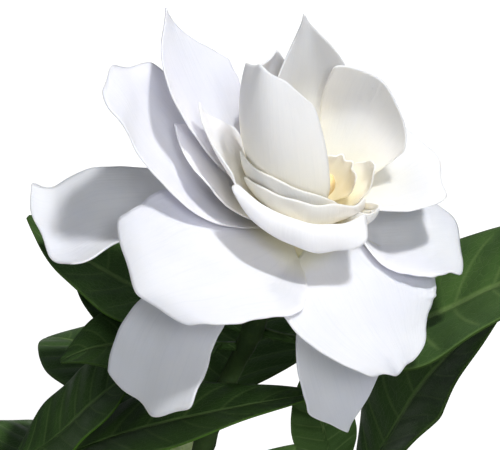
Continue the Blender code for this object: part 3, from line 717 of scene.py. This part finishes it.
# %% Petal table
PETALS = {
    "petal_core_1": ("heart", dict(
        around=75, spine=[(1.8, 5), (4, 8), (5, 13), (3.5, 18)], spread=(25, 80, 90), drop=.15,
        lean=(.1, .1), ruffle=(.7, 4, 20))),
    "petal_core_3": ("heart", dict(
        around=22, spine=[(2.6, 4.6, 0), (7, 9, 0), (10, 15, 0), (9.5, 20, 0)], width=9, base=2.2,
        widest=.6, end=.6, drop=.25, cup=(30, 50), ruffle=(.5, 2, 0))),
    "petal_core_4": ("heart", dict(
        around=338, spine=[(2.6, 4.2, 0), (9, 7, 0), (12.5, 11, 0), (12.5, 15, 0)], width=11, base=2.2,
        widest=.6, end=.8, drop=.15, cup=(60, 140))),
    "petal_inner_5": ("inner", dict(
        around=64, spine=[(2.6, 3.6), (10, 10), (15, 20), (15, 29), (12.5, 37)],
        spread=(20, 34, 45, 52), slant=-.3, drop=.1, lean=(.05, .08), ruffle=(.5, 2, 40))),
    "petal_inner_4": ("inner", dict(
        around=232, spine=[(2.6, 3.6), (8, 8), (11, 15), (11.5, 23), (9.5, 33), (5, 42)],
        spread=(20, 66, 80, 84, 86, 80), slant=-.05, drop=.16, lean=(-.46, .1), squash=.85,
        ruffle=(.8, 2, 60))),
    "heart_fold_1": ("heart", dict(
        around=246, spine=[(3, 4.4), (9, 8), (12.5, 12), (13.2, 16), (12.6, 20)],
        spread=(20, 56, 62, 62, 58), slant=.08, drop=.14, lean=(-.4, .1), squash=.8,
        ruffle=(.5, 2, 20))),
    "heart_fold_2": ("heart", dict(
        around=268, spine=[(3, 4), (9.5, 7), (13.5, 10.5), (14.8, 14), (14.6, 17)],
        spread=(20, 50, 60, 64, 66), slant=-.06, drop=.08, lean=(-.3, .12), squash=.82,
        ruffle=(.6, 3, 80))),
    "petal_inner_7": ("inner", dict(
        around=25, spine=[(3.2, 2.2), (8, 6), (12, 12), (15, 16.5), (18, 18), (20, 16)],
        spread=(20, 50, 65, 70), drop=.25, lean=(.42, .25), ruffle=(.8, 3, 60))),
    "petal_inner_3": ("inner", dict(
        around=265, spine=[(3.2, 2.2), (10, 6), (16, 11), (19, 15), (21, 16), (22.5, 14), (22, 10.5)],
        spread=(12, 34, 43, 44), slant=-.08, drop=.1, lean=(-.35, .28), ruffle=(.4, 3, 0))),
    "petal_inner_6": ("inner", dict(
        around=117, spine=[(3.8, 1.2, 0), (12, 7, 0), (19.5, 17, -1), (22, 30, 0), (24, 43, 4)],
        width=20, base=2.4, widest=.6, end=.2, drop=.3, tip=1.1, cup=(40, 50), ruffle=(1.3, 2.2, 30),
        crease=.1)),
    "petal_inner_8": ("inner", dict(
        around=132, spine=[(3.8, 1.2, 0), (14, 7, 0), (23, 17, 0), (25, 31, 0)], width=18, base=2.4,
        widest=.6, end=.6, drop=.2, cup=(30, 40), ruffle=(.8, 2, 0))),
    "petal_inner_1": ("inner", dict(
        around=180, spine=[(3.8, 1.2, 0), (11, 5, 2), (18, 10, 1), (26, 17, -2), (32, 24, -5)],
        width=18, base=2.4, widest=.5, end=.4, drop=.3, tip=1.3, cup=(40, 40), ruffle=(.7, 2, 90))),
    "petal_middle_5": ("middle", dict(
        around=150, spine=[(4.8, -.4, 0), (18, 7, 2), (31, 17, 4), (41, 24, 2), (49, 30, -2)], width=24,
        base=3, widest=.75, end=.2, drop=.3, tip=1.2, cup=(30, 25), ruffle=(1.0, 1.6, 40), crease=.12)),
    "petal_inner_2": ("inner", dict(
        around=167, spine=[(4.2, .6, 0), (14, 4, 3), (25, 9, 2), (35, 15, 1)], width=20, base=2.6,
        widest=.55, end=.5, drop=.25, cup=(30, 30), ruffle=(.7, 2, 0))),
    "petal_middle_7": ("middle", dict(
        around=104, spine=[(4.8, -.6, 0), (18, 5, 0), (30, 9, 0), (38, 9, 0)], width=30, base=3.4,
        widest=.6, end=.7, drop=.2, cup=(20, 10), ruffle=(1.4, 1.7, 10))),
    "petal_middle_4": ("middle", dict(
        around=168, spine=[(4.8, -.8, 0), (20, 2, 4), (30, 7, 3), (41, 14, 1), (47, 20, 0),
        (51, 23, -2)], width=25, base=3.4, widest=.5, end=.8, drop=.1, cup=(40, 15), roll=(0, -10),
        ruffle=(1.0, 1.5, 0), curl=-1.5)),
    "petal_middle_3": ("middle", dict(
        around=18, spine=[(4.8, -.8, 0), (18, 2, 0), (28, 3, 0), (36, 3, 0)], width=40, base=2.8,
        widest=.5, end=.85, drop=.2, cup=(15, 0), roll=(0, -10), ruffle=(1.0, 1.6, 80), curl=-1.0)),
    "petal_middle_1": ("middle", dict(
        around=218, spine=[(4.8, -1.2, 0), (17, 1, 1), (30, 2, 1), (46.5, -3, -1)], width=40, base=3.6,
        widest=.38, end=(.86, .36), drop=.13, cup=(15, 0), slant=.02, ruffle=(.8, 1.5, 60), curl=-1.2)),
    "petal_middle_2": ("middle", dict(
        around=301, spine=[(4.8, -1, 0), (16, 1, 0), (28, 0, -1), (41, -4, 2)], width=41, base=3.6,
        widest=.36, end=(.08, .3), drop=.06, cup=(15, 0), slant=-.04, ruffle=(1.3, 2.2, 30),
        curl=-1.0)),
    "petal_middle_6": ("middle", dict(
        around=79, spine=[(4.9, -2.0, 0), (18, 0, 0), (30, 1, 0), (38, -1, 0)], width=26, base=2.6,
        widest=.6, end=.75, drop=.2, cup=(15, 5), ruffle=(1.3, 1.8, 0))),
    "petal_outer_1": ("outer", dict(
        around=178, spine=[(5.6, -3.6, 0), (20, -6, 0), (33, -9, 0), (44, -15, 1), (52, -22, 3),
        (57, -24, 4)], width=38, base=4.6, widest=.85, end=(1.1, 1.15), drop=.06, cup=(10, 16),
        slant=.16, ruffle=(1.6, 1.3, 120), curl=2.6, bay=.6)),
    "petal_outer_2": ("outer", dict(
        around=217, spine=[(5.6, -3.8, 0), (18, -7, 0), (30, -13.5, 2), (37, -21, 6), (40, -26, 9.5),
        (41.5, -31, 12)], width=25, base=4.6, widest=.95, end=.9, drop=.1, cup=(10, 5),
        ruffle=(1.2, 1.4, 0))),
    "petal_outer_3": ("outer", dict(
        around=296, spine=[(5.6, -3.6, 0), (14, -8, 0), (22, -14, -1), (27, -20, 1), (31, -27, 4),
        (34, -32, 6)], width=21, base=4.6, widest=.7, end=.4, drop=.3, tip=1.2, cup=(10, 45),
        crease=.15)),
    "petal_outer_4": ("outer", dict(
        around=345, spine=[(5.6, -3.6, 0), (14, -5, 0), (21, -7, 0), (27, -10, 0)], width=22, base=4.6,
        widest=.7, end=.7, drop=.2, cup=(10, 5), ruffle=(1.0, 1.5, 0))),
    "petal_outer_5": ("outer", dict(
        around=45, spine=[(5.6, -3.8, 0), (18, -4.5, 0), (30, -8, 0), (40, -15, 0)], width=26, base=4.6,
        widest=.7, end=.7, drop=.2, cup=(10, 5), ruffle=(1.3, 1.5, 40))),
    "petal_outer_6": ("outer", dict(
        around=110, spine=[(5.6, -3.6, 0), (18, -3.5, 0), (30, -6, 0), (42, -12, 0)], width=26,
        base=4.6, widest=.7, end=.7, drop=.2, cup=(10, 5), ruffle=(1.3, 1.6, 90))),
}
print("petals:", len(PETALS))

# %% [markdown]
# Petals press on each other. They are made from the centre outwards, and each one is pushed out
# wherever it would lie inside, or right against, a petal already made. A search tree over each
# finished grid answers which surface is nearest. Each push is shared with the points beside it,
# which keeps a blade smooth but lets a few overlap slightly deep in the heart.

# %% Shape the petals
PETAL_SPACE = 0.9
PETAL_THICK = 0.36
SETTLE_STEPS = 6
LONGEST_PUSH = 1.5
SHARP_SHARE = 0.4
REACH = 7.0
ROWS, COLUMNS = 26, 18


def spread_push(push, columns):
    """Share each point's push with its neighbours on the grid, so that the blade stays smooth."""
    grid = push.reshape(-1, columns, 3)
    for _ in range(2):
        edged = np.pad(grid, ((1, 1), (1, 1), (0, 0)), mode="edge")
        round_it = edged[:-2, 1:-1] + edged[2:, 1:-1] + edged[1:-1, :-2] + edged[1:-1, 2:]
        grid = 0.4 * grid + 0.15 * round_it
    return grid.reshape(-1, 3)


def settle(points, columns, trees, space):
    """Push points outwards where they lie inside or against an inner petal."""
    start = points.copy()
    for _ in range(SETTLE_STEPS):
        push = np.zeros_like(points)
        for k, point in enumerate(points):
            p = Vector(point)
            for tree in trees:
                near, normal, _, _ = tree.find_nearest(p, REACH)
                if near is None:
                    continue
                depth = (p - near).dot(-normal)
                beside = ((p - near) + normal * depth).length
                if depth < space and beside < 0.6 * space + 0.25:
                    p = p - normal * min(space - depth, LONGEST_PUSH)
            push[k] = np.array(p) - point
        points = points + SHARP_SHARE * push + (1 - SHARP_SHARE) * spread_push(push, columns)
    return start + spread_push(points - start, columns)


def search_tree(points, faces):
    """Nearest-surface search with each face's normal on the inner side."""
    return BVHTree.FromPolygons([Vector(p) for p in points], faces)


def make_petal(name, look, spec, trees):
    """One petal: grid, settled points, thickness and a smooth skin."""
    rule = cup_petal if "spread" in spec else open_petal

    def shape(u, v):
        return settle(rule(u, v, **spec), COLUMNS + 1, trees, PETAL_SPACE)

    petal = grid_piece("bloom_" + name, ROWS, COLUMNS, shape)
    points = np.array([v.co[:] for v in petal.data.vertices])
    faces = [tuple(p.vertices) for p in petal.data.polygons]
    middle = faces[len(faces) // 2]
    a, b, d = (points[middle[k]] for k in (0, 1, 3))
    upward_rule = rule(np.array([0.5, 0.52, 0.5]), np.array([0.0, 0.0, 0.05]), **spec)
    inner_side = np.cross(upward_rule[1] - upward_rule[0], upward_rule[2] - upward_rule[0])
    if np.dot(np.cross(b - a, d - a), inner_side) < 0:
        faces = [tuple(reversed(f)) for f in faces]
    trees.append(search_tree(points, faces))
    world_points = (points @ AXES.T) * MM + HEART
    petal.data.vertices.foreach_set("co", world_points.astype(np.float32).ravel())
    petal.data.update()
    apply_modifier(petal, "SUBSURF", levels=1, render_levels=1)
    apply_modifier(petal, "SOLIDIFY", thickness=PETAL_THICK * MM, offset=0.0, use_even_offset=True)
    faces_outward(petal)
    petal.data.materials.append(FINISH[look])
    finish_piece(petal, [name] if name in NODES else [])


petal_trees = []
for petal_name, (petal_look, petal_spec) in PETALS.items():
    make_petal(petal_name, petal_look, petal_spec, petal_trees)
print("made", len(petal_trees), "petals")

# %% [markdown]
# ## Stems
#
# Each shoot is a tapering woody stem with a slight swelling at every leaf joint, brown at the
# foot and green near the tip; that green is kept very dark, partly as painted shade. A rolled-up
# grid makes the tube, and its two ends are closed.

# %% Stem table and tube
STEM_STEPS = 200
# Centre line as (right, back, height), then the radius at the foot and at the tip.
STEMS = {
    "stem_main": ([(-4, -4, 112.6), (-4.2, -4.6, 124), (-5, -9, 160), (4, -18, 205), (14, -16, 247),
                   (24.5, -21, 277), (30.1, -25, 293)], 3.6, 2.0),
    "stem_left": ([(-20, 4, 112.6), (-20.8, 4, 124), (-30, 2, 160), (-38, -8, 210),
                   (-38, -24, 239)], 3.0, 1.4),
    "stem_right": ([(16, 0, 112.6), (16.8, -0.4, 124), (26, -6, 152), (38, -20, 200),
                    (43, -32, 238)], 3.0, 1.4),
    "stem_back": ([(4, 20, 112.6), (4.2, 21, 122), (7, 32, 150), (6, 44, 178)], 2.6, 1.6),
}


def tube_points(u, v, line, radius):
    """Points round a centre line; radius is a function of the length u."""
    mid = along(line, u)
    run = np.gradient(line, axis=0)
    run /= np.linalg.norm(run, axis=1)[:, None]
    way = along(run, u)
    way /= np.linalg.norm(way, axis=-1)[..., None]
    side = np.cross(way, np.array([0.3, 1.0, 0.1]))
    side /= np.linalg.norm(side, axis=-1)[..., None]
    top = np.cross(way, side)
    a = np.pi * v
    r = radius(u, a)
    return mid + side * (r * np.cos(a))[..., None] + top * (r * np.sin(a))[..., None]


def make_tube(name, line, radius, rows=40, columns=16):
    """A closed tube from a rolled-up grid, in metres."""
    tube = grid_piece(name, rows, columns, lambda u, v: tube_points(u, v, line, radius) * MM)
    close_tube(tube)
    return tube


def stem_at(stem, height):
    """Centre and radius of a stem at a height above the ground."""
    points, foot, tip = STEMS[stem]
    line = curve_through(points, STEM_STEPS + 1)
    k = int(np.argmin(np.abs(line[:, 2] - height)))
    return line[k], foot + (tip - foot) * k / STEM_STEPS


print("stems:", len(STEMS))

# %% [markdown]
# ## Leaves
#
# Leaves stand on short stalks. The blade is a pointed oval, folded up along its midrib and
# waved a little at its margins, with a round rib along its underside that carries on as the
# stalk. Young leaves near the shoot tips are brighter green than old ones; that brighter finish
# is partly painted sunlight through the leaves, and the old leaves' very dark green is partly
# painted shade.

# %% Leaf table
# Stem, height on it, direction, spine as (reach, height, drift), width and finish.
LEAVES = {
    "leaf_01": ("stem_main", 274, 352, [(0, 0), (12, -1), (36, 6), (52, 16), (70, 25), (84, 28)], 50, "leaf"),
    "leaf_02": ("stem_main", 274, 157, [(0, 0), (18, 2), (38, 8), (54, 17)], 30, "young_sunlit_leaf"),
    "leaf_03": ("stem_main", 270, 190, [(0, 0), (15, 2), (30, 3), (40, 0)], 28, "leaf"),
    "leaf_04": ("stem_main", 247, 75, [(0, 0), (20, 4), (40, 7), (60, 5)], 36, "leaf"),
    "leaf_05": ("stem_main", 255, 148, [(0, 0), (12, 4), (30, 16), (40, 25)], 22, "leaf"),
    "leaf_06": ("stem_main", 241, 130, [(0, 0), (20, 3), (42, 4), (60, -2)], 34, "leaf"),
    "leaf_07": ("stem_left", 238, 10, [(0, 0, 0), (12, 6, -2), (24, 18, -3), (36, 29, -5)], 28, "young_sunlit_leaf"),
    "leaf_08": ("stem_left", 235, 350, [(0, 0, 0), (16, 8, -2), (33, 17, -2), (55, 25, -1), (76, 30, 2)], 27,
                "young_sunlit_leaf"),
    "leaf_09": ("stem_left", 222, 205, [(0, 0), (20, 7), (42, 10), (62, 4)], 32, "leaf"),
    "leaf_10": ("stem_left", 207, 84, [(0, 0), (20, 3), (40, 1), (58, -7)], 30, "leaf"),
    "leaf_11": ("stem_left", 192, 255, [(0, 0), (22, 8), (44, 9), (64, 0)], 34, "leaf"),
    "leaf_12": ("stem_left", 166, 160, [(0, 0), (22, 8), (46, 10), (68, 2)], 36, "leaf"),
    "leaf_13": ("stem_right", 237, 100, [(0, 0, 0), (4, 12, 2), (6, 22, 4), (8, 30, 5)], 15, "young_sunlit_leaf"),
    "leaf_14": ("stem_right", 234, 4, [(0, 0, 0), (8, 10, 3), (20, 26, 10), (37, 44, 11)], 40, "leaf"),
    "leaf_15": ("stem_right", 214, 20, [(0, 0), (20, 7), (42, 8), (62, 0)], 32, "leaf"),
    "leaf_16": ("stem_right", 208, 285, [(0, 0), (20, 5), (40, 4), (58, -6)], 32, "leaf"),
    "leaf_17": ("stem_right", 176, 335, [(0, 0), (22, 8), (46, 8), (68, -4)], 36, "leaf"),
    "leaf_18": ("stem_right", 170, 50, [(0, 0), (22, 8), (44, 10), (64, 2)], 34, "leaf"),
    "leaf_19": ("stem_back", 172, 130, [(0, 0), (18, 8), (38, 12), (56, 6)], 30, "young_sunlit_leaf"),
    "leaf_20": ("stem_back", 168, 25, [(0, 0), (18, 8), (38, 12), (58, 6)], 32, "young_sunlit_leaf"),
    "leaf_21": ("stem_back", 150, 85, [(0, 0), (20, 8), (42, 10), (62, 2)], 34, "leaf"),
    "leaf_22": ("stem_main", 196, 268, [(0, 0), (20, 4), (40, 2), (58, -8)], 34, "leaf"),
    "leaf_23": ("stem_main", 160, 300, [(0, 0), (22, 8), (46, 8), (70, -3)], 36, "leaf"),
}
LEAF_THICK = 0.45
STALK_HALF = 0.6
FOLD, FLATTEN = 0.2, 0.07
QUILT = 0.32
MARGIN_WAVE = 0.9


def leaf_width(s, width):
    """Half width of a leaf along its length: thin stalk, broad middle, pointed tip."""
    blade = np.clip((s - 0.1) / 0.9, 0, 1)
    return STALK_HALF + (width / 2 - STALK_HALF) * np.sin(np.pi * blade**0.85) ** 0.8 * (1 - 0.35 * blade**6)


def leaf_points(u, v, around, spine, width, base, phase):
    """Points of a leaf blade in millimetres."""
    mid, cross, upper = blade_frame(around, spine)
    half = leaf_width(u, width)
    far = np.abs(v)
    lift = FOLD * far * half - FLATTEN * far**3 * half
    quilt = QUILT * np.sin(2 * np.pi * (9 * u - 1.2 * far**1.3)) * np.sin(np.pi * far) * np.sin(np.pi * u)
    wave = MARGIN_WAVE * np.sin(2 * np.pi * (2.3 * u + phase) + 2.4 * (v < 0)) * far**2 * np.sin(np.pi * u)
    across = along(cross, u) * (half * v)[..., None]
    return along(mid, u) + across + along(upper, u) * (lift + quilt + wave)[..., None] + base


def make_leaf(name, stem, height, around, spine, width, look):
    """One leaf with its blade, rib and stalk as a single piece."""
    centre, radius = stem_at(stem, height)
    a = math.radians(around)
    base = centre + np.array([math.cos(a), math.sin(a), 0]) * (radius + 0.2)
    phase = (int(name[-2:]) * 0.37) % 1
    leaf = grid_piece("foliage_" + name, 34, 16,
                      lambda u, v: leaf_points(u, v, around, spine, width, base, phase) * MM)
    leaf.data.materials.append(FINISH[look])
    leaf.data.materials.append(FINISH["leaf_back"])
    apply_modifier(leaf, "SUBSURF", levels=1, render_levels=1)
    apply_modifier(leaf, "SOLIDIFY", thickness=LEAF_THICK * MM, offset=0.0, use_even_offset=True,
                   material_offset=1)
    mid, _, upper = blade_frame(around, spine)
    rib_line = (mid + base - upper * 0.25)[: int(len(mid) * 0.93)]
    rib = make_tube("rib", rib_line, lambda u, a: 0.25 + 0.85 * (1 - u) ** 1.2, 30, 8)
    rib.data.materials.append(FINISH["leaf_back"])
    join_pieces(leaf, [rib])
    faces_outward(leaf)
    finish_piece(leaf, [name])


for leaf_name, leaf_row in LEAVES.items():
    make_leaf(leaf_name, *leaf_row)
print("made", len(LEAVES), "leaves")

# %% Stems with their leaf joints
JOINT_SWELL = 0.35
JOINT_LENGTH = 0.012
GREEN_FROM = {"stem_back": 0.5}
USUAL_GREEN = 0.62


def make_stem(name):
    """Woody stem below, green shoot above, swollen at each leaf joint."""
    points, foot, tip = STEMS[name]
    line = curve_through(points, STEM_STEPS + 1)
    heights = [row[1] for row in LEAVES.values() if row[0] == name]
    joints = [int(np.argmin(np.abs(line[:, 2] - h))) / STEM_STEPS for h in heights]

    def radius(u, a):
        r = foot + (tip - foot) * u - 0.15
        for joint in joints:
            r = r + JOINT_SWELL * np.exp(-((u - joint) / JOINT_LENGTH) ** 2)
        return r * (1 + 0.03 * np.sin(5 * a + 9 * u))

    stem = make_tube("shoot_" + name, line, radius, 110, 20)
    stem.data.materials.append(FINISH["bark"])
    stem.data.materials.append(FINISH["shoot"])
    turn = GREEN_FROM.get(name, USUAL_GREEN)
    low, high = points[0][2] * MM, points[-1][2] * MM
    for face in stem.data.polygons:
        face.material_index = 1 if face.center.z > low + (high - low) * turn else 0
    faces_outward(stem)
    finish_piece(stem, [name])


for stem_name in STEMS:
    make_stem(stem_name)
print("made", len(STEMS), "stems")

# %% [markdown]
# ## Calyx, tube, stigma and bud
#
# Under the petals a ribbed green calyx ends in six narrow lobes. The petals rise from a short
# pale tube, and in the middle stands a club-shaped yellow stigma. The bud on the back shoot is
# wrapped in a spiral, so its turned outline is twisted as it rises.

# %% Turned parts of the flower


def turned_points(u, v, profile, axes, origin, ribs=(0, 0), twist=0.0):
    """Points of a turned body with ribs that may twist along its length."""
    line = curve_through([(p[0], 0, p[1]) for p in profile])
    at = along(line, u)
    a = np.pi * v
    depth, count = ribs
    r = np.maximum(at[..., 0], 0.02) * (1 + depth * np.cos(count * a + twist * u) * np.sin(np.pi * u))
    local = np.stack([r * np.cos(a), r * np.sin(a), at[..., 2]], axis=-1)
    return (local @ axes.T) * MM + origin


def make_turned(name, profile, look, axes, origin, rows=36, columns=36, ribs=(0, 0), twist=0.0):
    """A closed turned piece from a rolled-up grid."""
    piece = grid_piece(name, rows, columns,
                       lambda u, v: turned_points(u, v, profile, axes, origin, ribs, twist))
    close_tube(piece)
    piece.data.materials.append(FINISH[look])
    return piece


def make_lobes(name, count, foot, height, length, width, look, axes, origin, spread):
    """A ring of narrow pointed lobes round a flower or a bud."""
    lobes = []
    for k in range(count):
        spine = [(foot, height), (foot + 1.2, height + length * 0.35),
                 (foot + spread * 0.6, height + length * 0.7), (foot + spread, height + length)]

        def shape(u, v, turn=360 * k / count):
            mid, cross, upper = blade_frame(turn, spine)
            half = width / 2 * (1 - u) ** 0.7 + 0.08
            local = along(mid, u) + along(cross, u) * (half * v)[..., None]
            local = local + along(upper, u) * (0.25 * v**2)[..., None]
            return (local @ axes.T) * MM + origin

        lobe = grid_piece("lobe", 12, 4, shape)
        apply_modifier(lobe, "SOLIDIFY", thickness=0.4 * MM, offset=0.0)
        lobe.data.materials.append(FINISH[look])
        lobes.append(lobe)
    join_pieces(lobes[0], lobes[1:])
    lobes[0].name = name
    return lobes[0]


# Outlines as (radius, height) from the foot up.
CALYX_OUTLINE = [(0.2, -12.5), (1.9, -12.3), (3.3, -10.5), (4.1, -8.2), (4.2, -6.6), (0.2, -6.3)]
TUBE_OUTLINE = [(0.2, -5.9), (4.2, -5.7), (4.5, -4.6), (4.5, -3), (3.9, -1.7), (3.5, 0), (2.9, 1),
                (2.5, 2), (2.2, 3), (1.9, 3.8), (0.2, 4.1)]
STIGMA_OUTLINE = [(0.2, 4.5), (0.9, 4.7), (0.8, 9), (1.6, 11), (2.1, 13.5), (1.5, 15.8), (0.2, 16.4)]
BUD_OUTLINE = [(0.2, 0.4), (1.6, 0.7), (3.0, 3), (2.8, 6.5), (4.3, 12), (4.0, 18), (2.1, 25), (0.2, 29.8)]


def make_flower_base():
    """Calyx with its lobes, the pale tube on it and the stigma in the middle."""
    calyx = make_turned("calyx_cup", CALYX_OUTLINE, "shoot", AXES, HEART, ribs=(0.09, 6))
    lobes = make_lobes("calyx_lobes", 6, 4.3, -8.4, -1.5, 1.8, "shoot", AXES, HEART, 6.5)
    join_pieces(calyx, [lobes])
    faces_outward(calyx)
    finish_piece(calyx, ["calyx"])
    tube = make_turned("corolla_throat", TUBE_OUTLINE, "heart", AXES, HEART, ribs=(0.03, 8))
    faces_outward(tube)
    finish_piece(tube, ["corolla_tube"])
    stigma = make_turned("stigma_club", STIGMA_OUTLINE, "stigma", AXES, HEART, ribs=(0.12, 7), twist=2.0)
    faces_outward(stigma)
    finish_piece(stigma, ["stigma"])


def make_bud():
    """The closed bud on the back shoot, with its own lobes."""
    tip = np.array(STEMS["stem_back"][0][-1], float) * MM
    upright = np.eye(3)
    bud = make_turned("spiral_bud", BUD_OUTLINE, "bud", upright, tip, 70, 60, (0.13, 6), 7.0)
    lobes = make_lobes("bud_lobes", 6, 3.1, 4.0, 10.0, 1.5, "shoot", upright, tip, 3.5)
    join_pieces(bud, [lobes])
    faces_outward(bud)
    finish_piece(bud, ["bud"])


make_flower_base()
make_bud()
print("made the calyx, tube, stigma and bud")

# %% [markdown]
# ## Pot and soil
#
# The pot is a plain clay one with a collar. A potter turns it, so its outline is drawn as a
# short chain of points and spun round the upright axis. The drain holes are cut afterwards. The
# soil is a loose mix: an uneven surface with chips of bark and grains of white perlite on it.

# %% Turn the pot
pot_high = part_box("pot")[1]
POT_HEIGHT = pot_high[2] / MM
POT_RIM = pot_high[0] / MM
COLLAR = POT_HEIGHT - 26.0
POT_FOOT = 50.0
POT_FLOOR = 8.0
SPIN_WELD = 0.00003
DRAIN_HOLES = 3
DRAIN_RADIUS = 4.5
DRAIN_RING = 26.0
FIRST_DRAIN = 40.0


def pot_outline():
    """Outer and inner outline of the pot in millimetres, from the axis round to the axis."""
    body_top = POT_RIM - 7.0
    inner_top = POT_RIM - 6.8
    steps = [(0.01, 0.0), (POT_FOOT - 12, 0.0), (POT_FOOT - 3, 0.0), (POT_FOOT - 0.8, 0.8),
             (POT_FOOT, 2.4)]
    for k in range(1, 9):
        t = k / 9
        steps.append((POT_FOOT + (body_top - POT_FOOT) * t, 2.4 + (COLLAR - 3.0) * t))
    steps += [(body_top, COLLAR - 0.4), (body_top + 1.0, COLLAR), (POT_RIM - 2.4, COLLAR + 0.4),
              (POT_RIM - 0.7, COLLAR + 1.4), (POT_RIM, COLLAR + 3.4), (POT_RIM, COLLAR + 8),
              (POT_RIM, COLLAR + 16), (POT_RIM, POT_HEIGHT - 3), (POT_RIM - 0.8, POT_HEIGHT - 0.9),
              (POT_RIM - 2.6, POT_HEIGHT), (inner_top + 2.0, POT_HEIGHT),
              (inner_top + 0.6, POT_HEIGHT - 0.8), (inner_top, POT_HEIGHT - 2.6), (inner_top - 1.5, COLLAR)]
    for k in range(1, 7):
        t = k / 7
        steps.append((inner_top - 1.5 + (POT_FOOT - 4.8 - inner_top) * t,
                      COLLAR + (POT_FLOOR + 6 - COLLAR) * t))
    steps += [(POT_FOOT - 8, POT_FLOOR + 1.5), (POT_FOOT - 11, POT_FLOOR), (20, POT_FLOOR),
              (0.01, POT_FLOOR)]
    return steps


def make_pot():
    """Draw the outline point by point, spin it round and cut the drain holes."""
    outline = pot_outline()
    clear_selection()
    bpy.ops.mesh.primitive_plane_add(size=0.01)
    pot = bpy.context.object
    pot.name = "clay_pot"
    bpy.ops.object.mode_set(mode="EDIT")
    bpy.ops.mesh.select_all(action="SELECT")
    bpy.ops.mesh.merge(type="CENTER")
    bpy.ops.object.mode_set(mode="OBJECT")
    pot.data.vertices[0].co = (outline[0][0] * MM, 0, outline[0][1] * MM)
    bpy.ops.object.mode_set(mode="EDIT")
    bpy.ops.mesh.select_all(action="SELECT")
    for (r0, z0), (r1, z1) in zip(outline, outline[1:]):
        step = ((r1 - r0) * MM, 0, (z1 - z0) * MM)
        bpy.ops.mesh.extrude_region_move(TRANSFORM_OT_translate={"value": step})
    bpy.ops.mesh.select_all(action="SELECT")
    bpy.ops.mesh.spin(steps=96, angle=2 * math.pi, center=(0, 0, 0), axis=(0, 0, 1))
    bpy.ops.mesh.select_all(action="SELECT")
    bpy.ops.mesh.remove_doubles(threshold=SPIN_WELD)
    bpy.ops.object.mode_set(mode="OBJECT")
    faces_outward(pot)
    for k in range(DRAIN_HOLES):
        a = math.radians(FIRST_DRAIN + 360 / DRAIN_HOLES * k)
        place = (DRAIN_RING * math.cos(a) * MM, DRAIN_RING * math.sin(a) * MM, 0)
        clear_selection()
        bpy.ops.mesh.primitive_cylinder_add(vertices=32, radius=DRAIN_RADIUS * MM, depth=30 * MM,
                                            location=place)
        cutter = bpy.context.object
        apply_modifier(pot, "BOOLEAN", operation="DIFFERENCE", object=cutter)
        bpy.data.objects.remove(cutter, do_unlink=True)
    pot.data.set_sharp_from_angle(angle=math.radians(35))
    pot.data.materials.append(FINISH["clay"])
    finish_piece(pot, ["pot"])
    print("pot has", len(pot.data.polygons), "faces")


make_pot()

# %% Fill the pot with soil
soil_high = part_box("soil")[1]
SOIL_TOP = soil_high[2] / MM
SOIL_RADIUS = soil_high[0] / MM
RIM_DIP = 1.2
LAYER = 6.0
SOIL_WELD = 0.00001
# Name, how many, smallest and largest size, flatness and finish.
GRAINS = [("soil_crumbs", 420, 0.7, 2.0, 0.7, "soil"), ("bark_chips", 110, 1.6, 4.2, 0.4, "chip"),
          ("perlite_grains", 130, 0.6, 1.6, 0.8, "perlite")]


def soil_surface(u, v):
    """A rough disc that dips towards the rim."""
    a = np.pi * v
    r = SOIL_RADIUS * u
    x, y = r * np.cos(a), r * np.sin(a)
    z = np.empty_like(x)
    for k in range(len(x)):
        rough = noise.fractal(Vector((x[k] * 0.11, y[k] * 0.11, 0.0)), 0.6, 2.1, 5)
        z[k] = SOIL_TOP - 0.4 + 1.0 * rough * min(1.0, 6 * (1 - u[k])) - RIM_DIP * u[k] ** 6
    return np.stack([x, y, z], axis=-1) * MM


def scatter_grains(name, count, low, high, flat, look):
    """Small squashed lumps lying on the soil, joined into one piece."""
    clear_selection()
    bpy.ops.mesh.primitive_ico_sphere_add(subdivisions=2, radius=1.0)
    pattern = bpy.context.object
    base = np.array([v.co[:] for v in pattern.data.vertices])
    tris = [tuple(p.vertices) for p in pattern.data.polygons]
    bpy.data.objects.remove(pattern, do_unlink=True)
    verts, faces = [], []
    for _ in range(count):
        size = random.uniform(low, high)
        r = (SOIL_RADIUS - 4) * math.sqrt(random.random())
        a = random.uniform(0, 2 * math.pi)
        round_z = Matrix.Rotation(random.uniform(0, 6.28), 3, "Z")
        round_x = Matrix.Rotation(random.uniform(-.5, .5), 3, "X")
        turn = np.array(round_z @ round_x)
        shape = np.array([random.uniform(0.7, 1.4), random.uniform(0.6, 1.0), flat])
        bumps = 1 + 0.25 * np.sin(base @ np.array([3.1, 2.3, 4.7]) * 1.7 + random.uniform(0, 6))
        lump = (base * bumps[:, None] * shape * size) @ turn.T
        level = SOIL_TOP - 0.2 - RIM_DIP * (r / SOIL_RADIUS) ** 6
        lump += np.array([r * math.cos(a), r * math.sin(a), level])
        faces += [tuple(i + len(verts) for i in t) for t in tris]
        verts += list(lump * MM)
    mesh = bpy.data.meshes.new(name)
    mesh.from_pydata([tuple(v) for v in verts], [], faces)
    piece = bpy.data.objects.new(name, mesh)
    bpy.context.collection.objects.link(piece)
    faces_outward(piece)
    mesh.materials.append(FINISH[look])
    finish_piece(piece, [])


def make_soil():
    """The rough top of the soil as a thin closed layer, with its grains."""
    soil = grid_piece("soil_surface", 60, 120, soil_surface)
    edit_all(soil)
    bpy.ops.mesh.remove_doubles(threshold=SOIL_WELD)
    bpy.ops.mesh.select_all(action="SELECT")
    bpy.ops.mesh.extrude_region_move(TRANSFORM_OT_translate={"value": (0, 0, -LAYER * MM)})
    bpy.ops.object.mode_set(mode="OBJECT")
    faces_outward(soil)
    soil.data.materials.append(FINISH["soil"])
    finish_piece(soil, ["soil"])
    for row in GRAINS:
        scatter_grains(*row)


make_soil()
print("soil level %.1f mm" % SOIL_TOP)
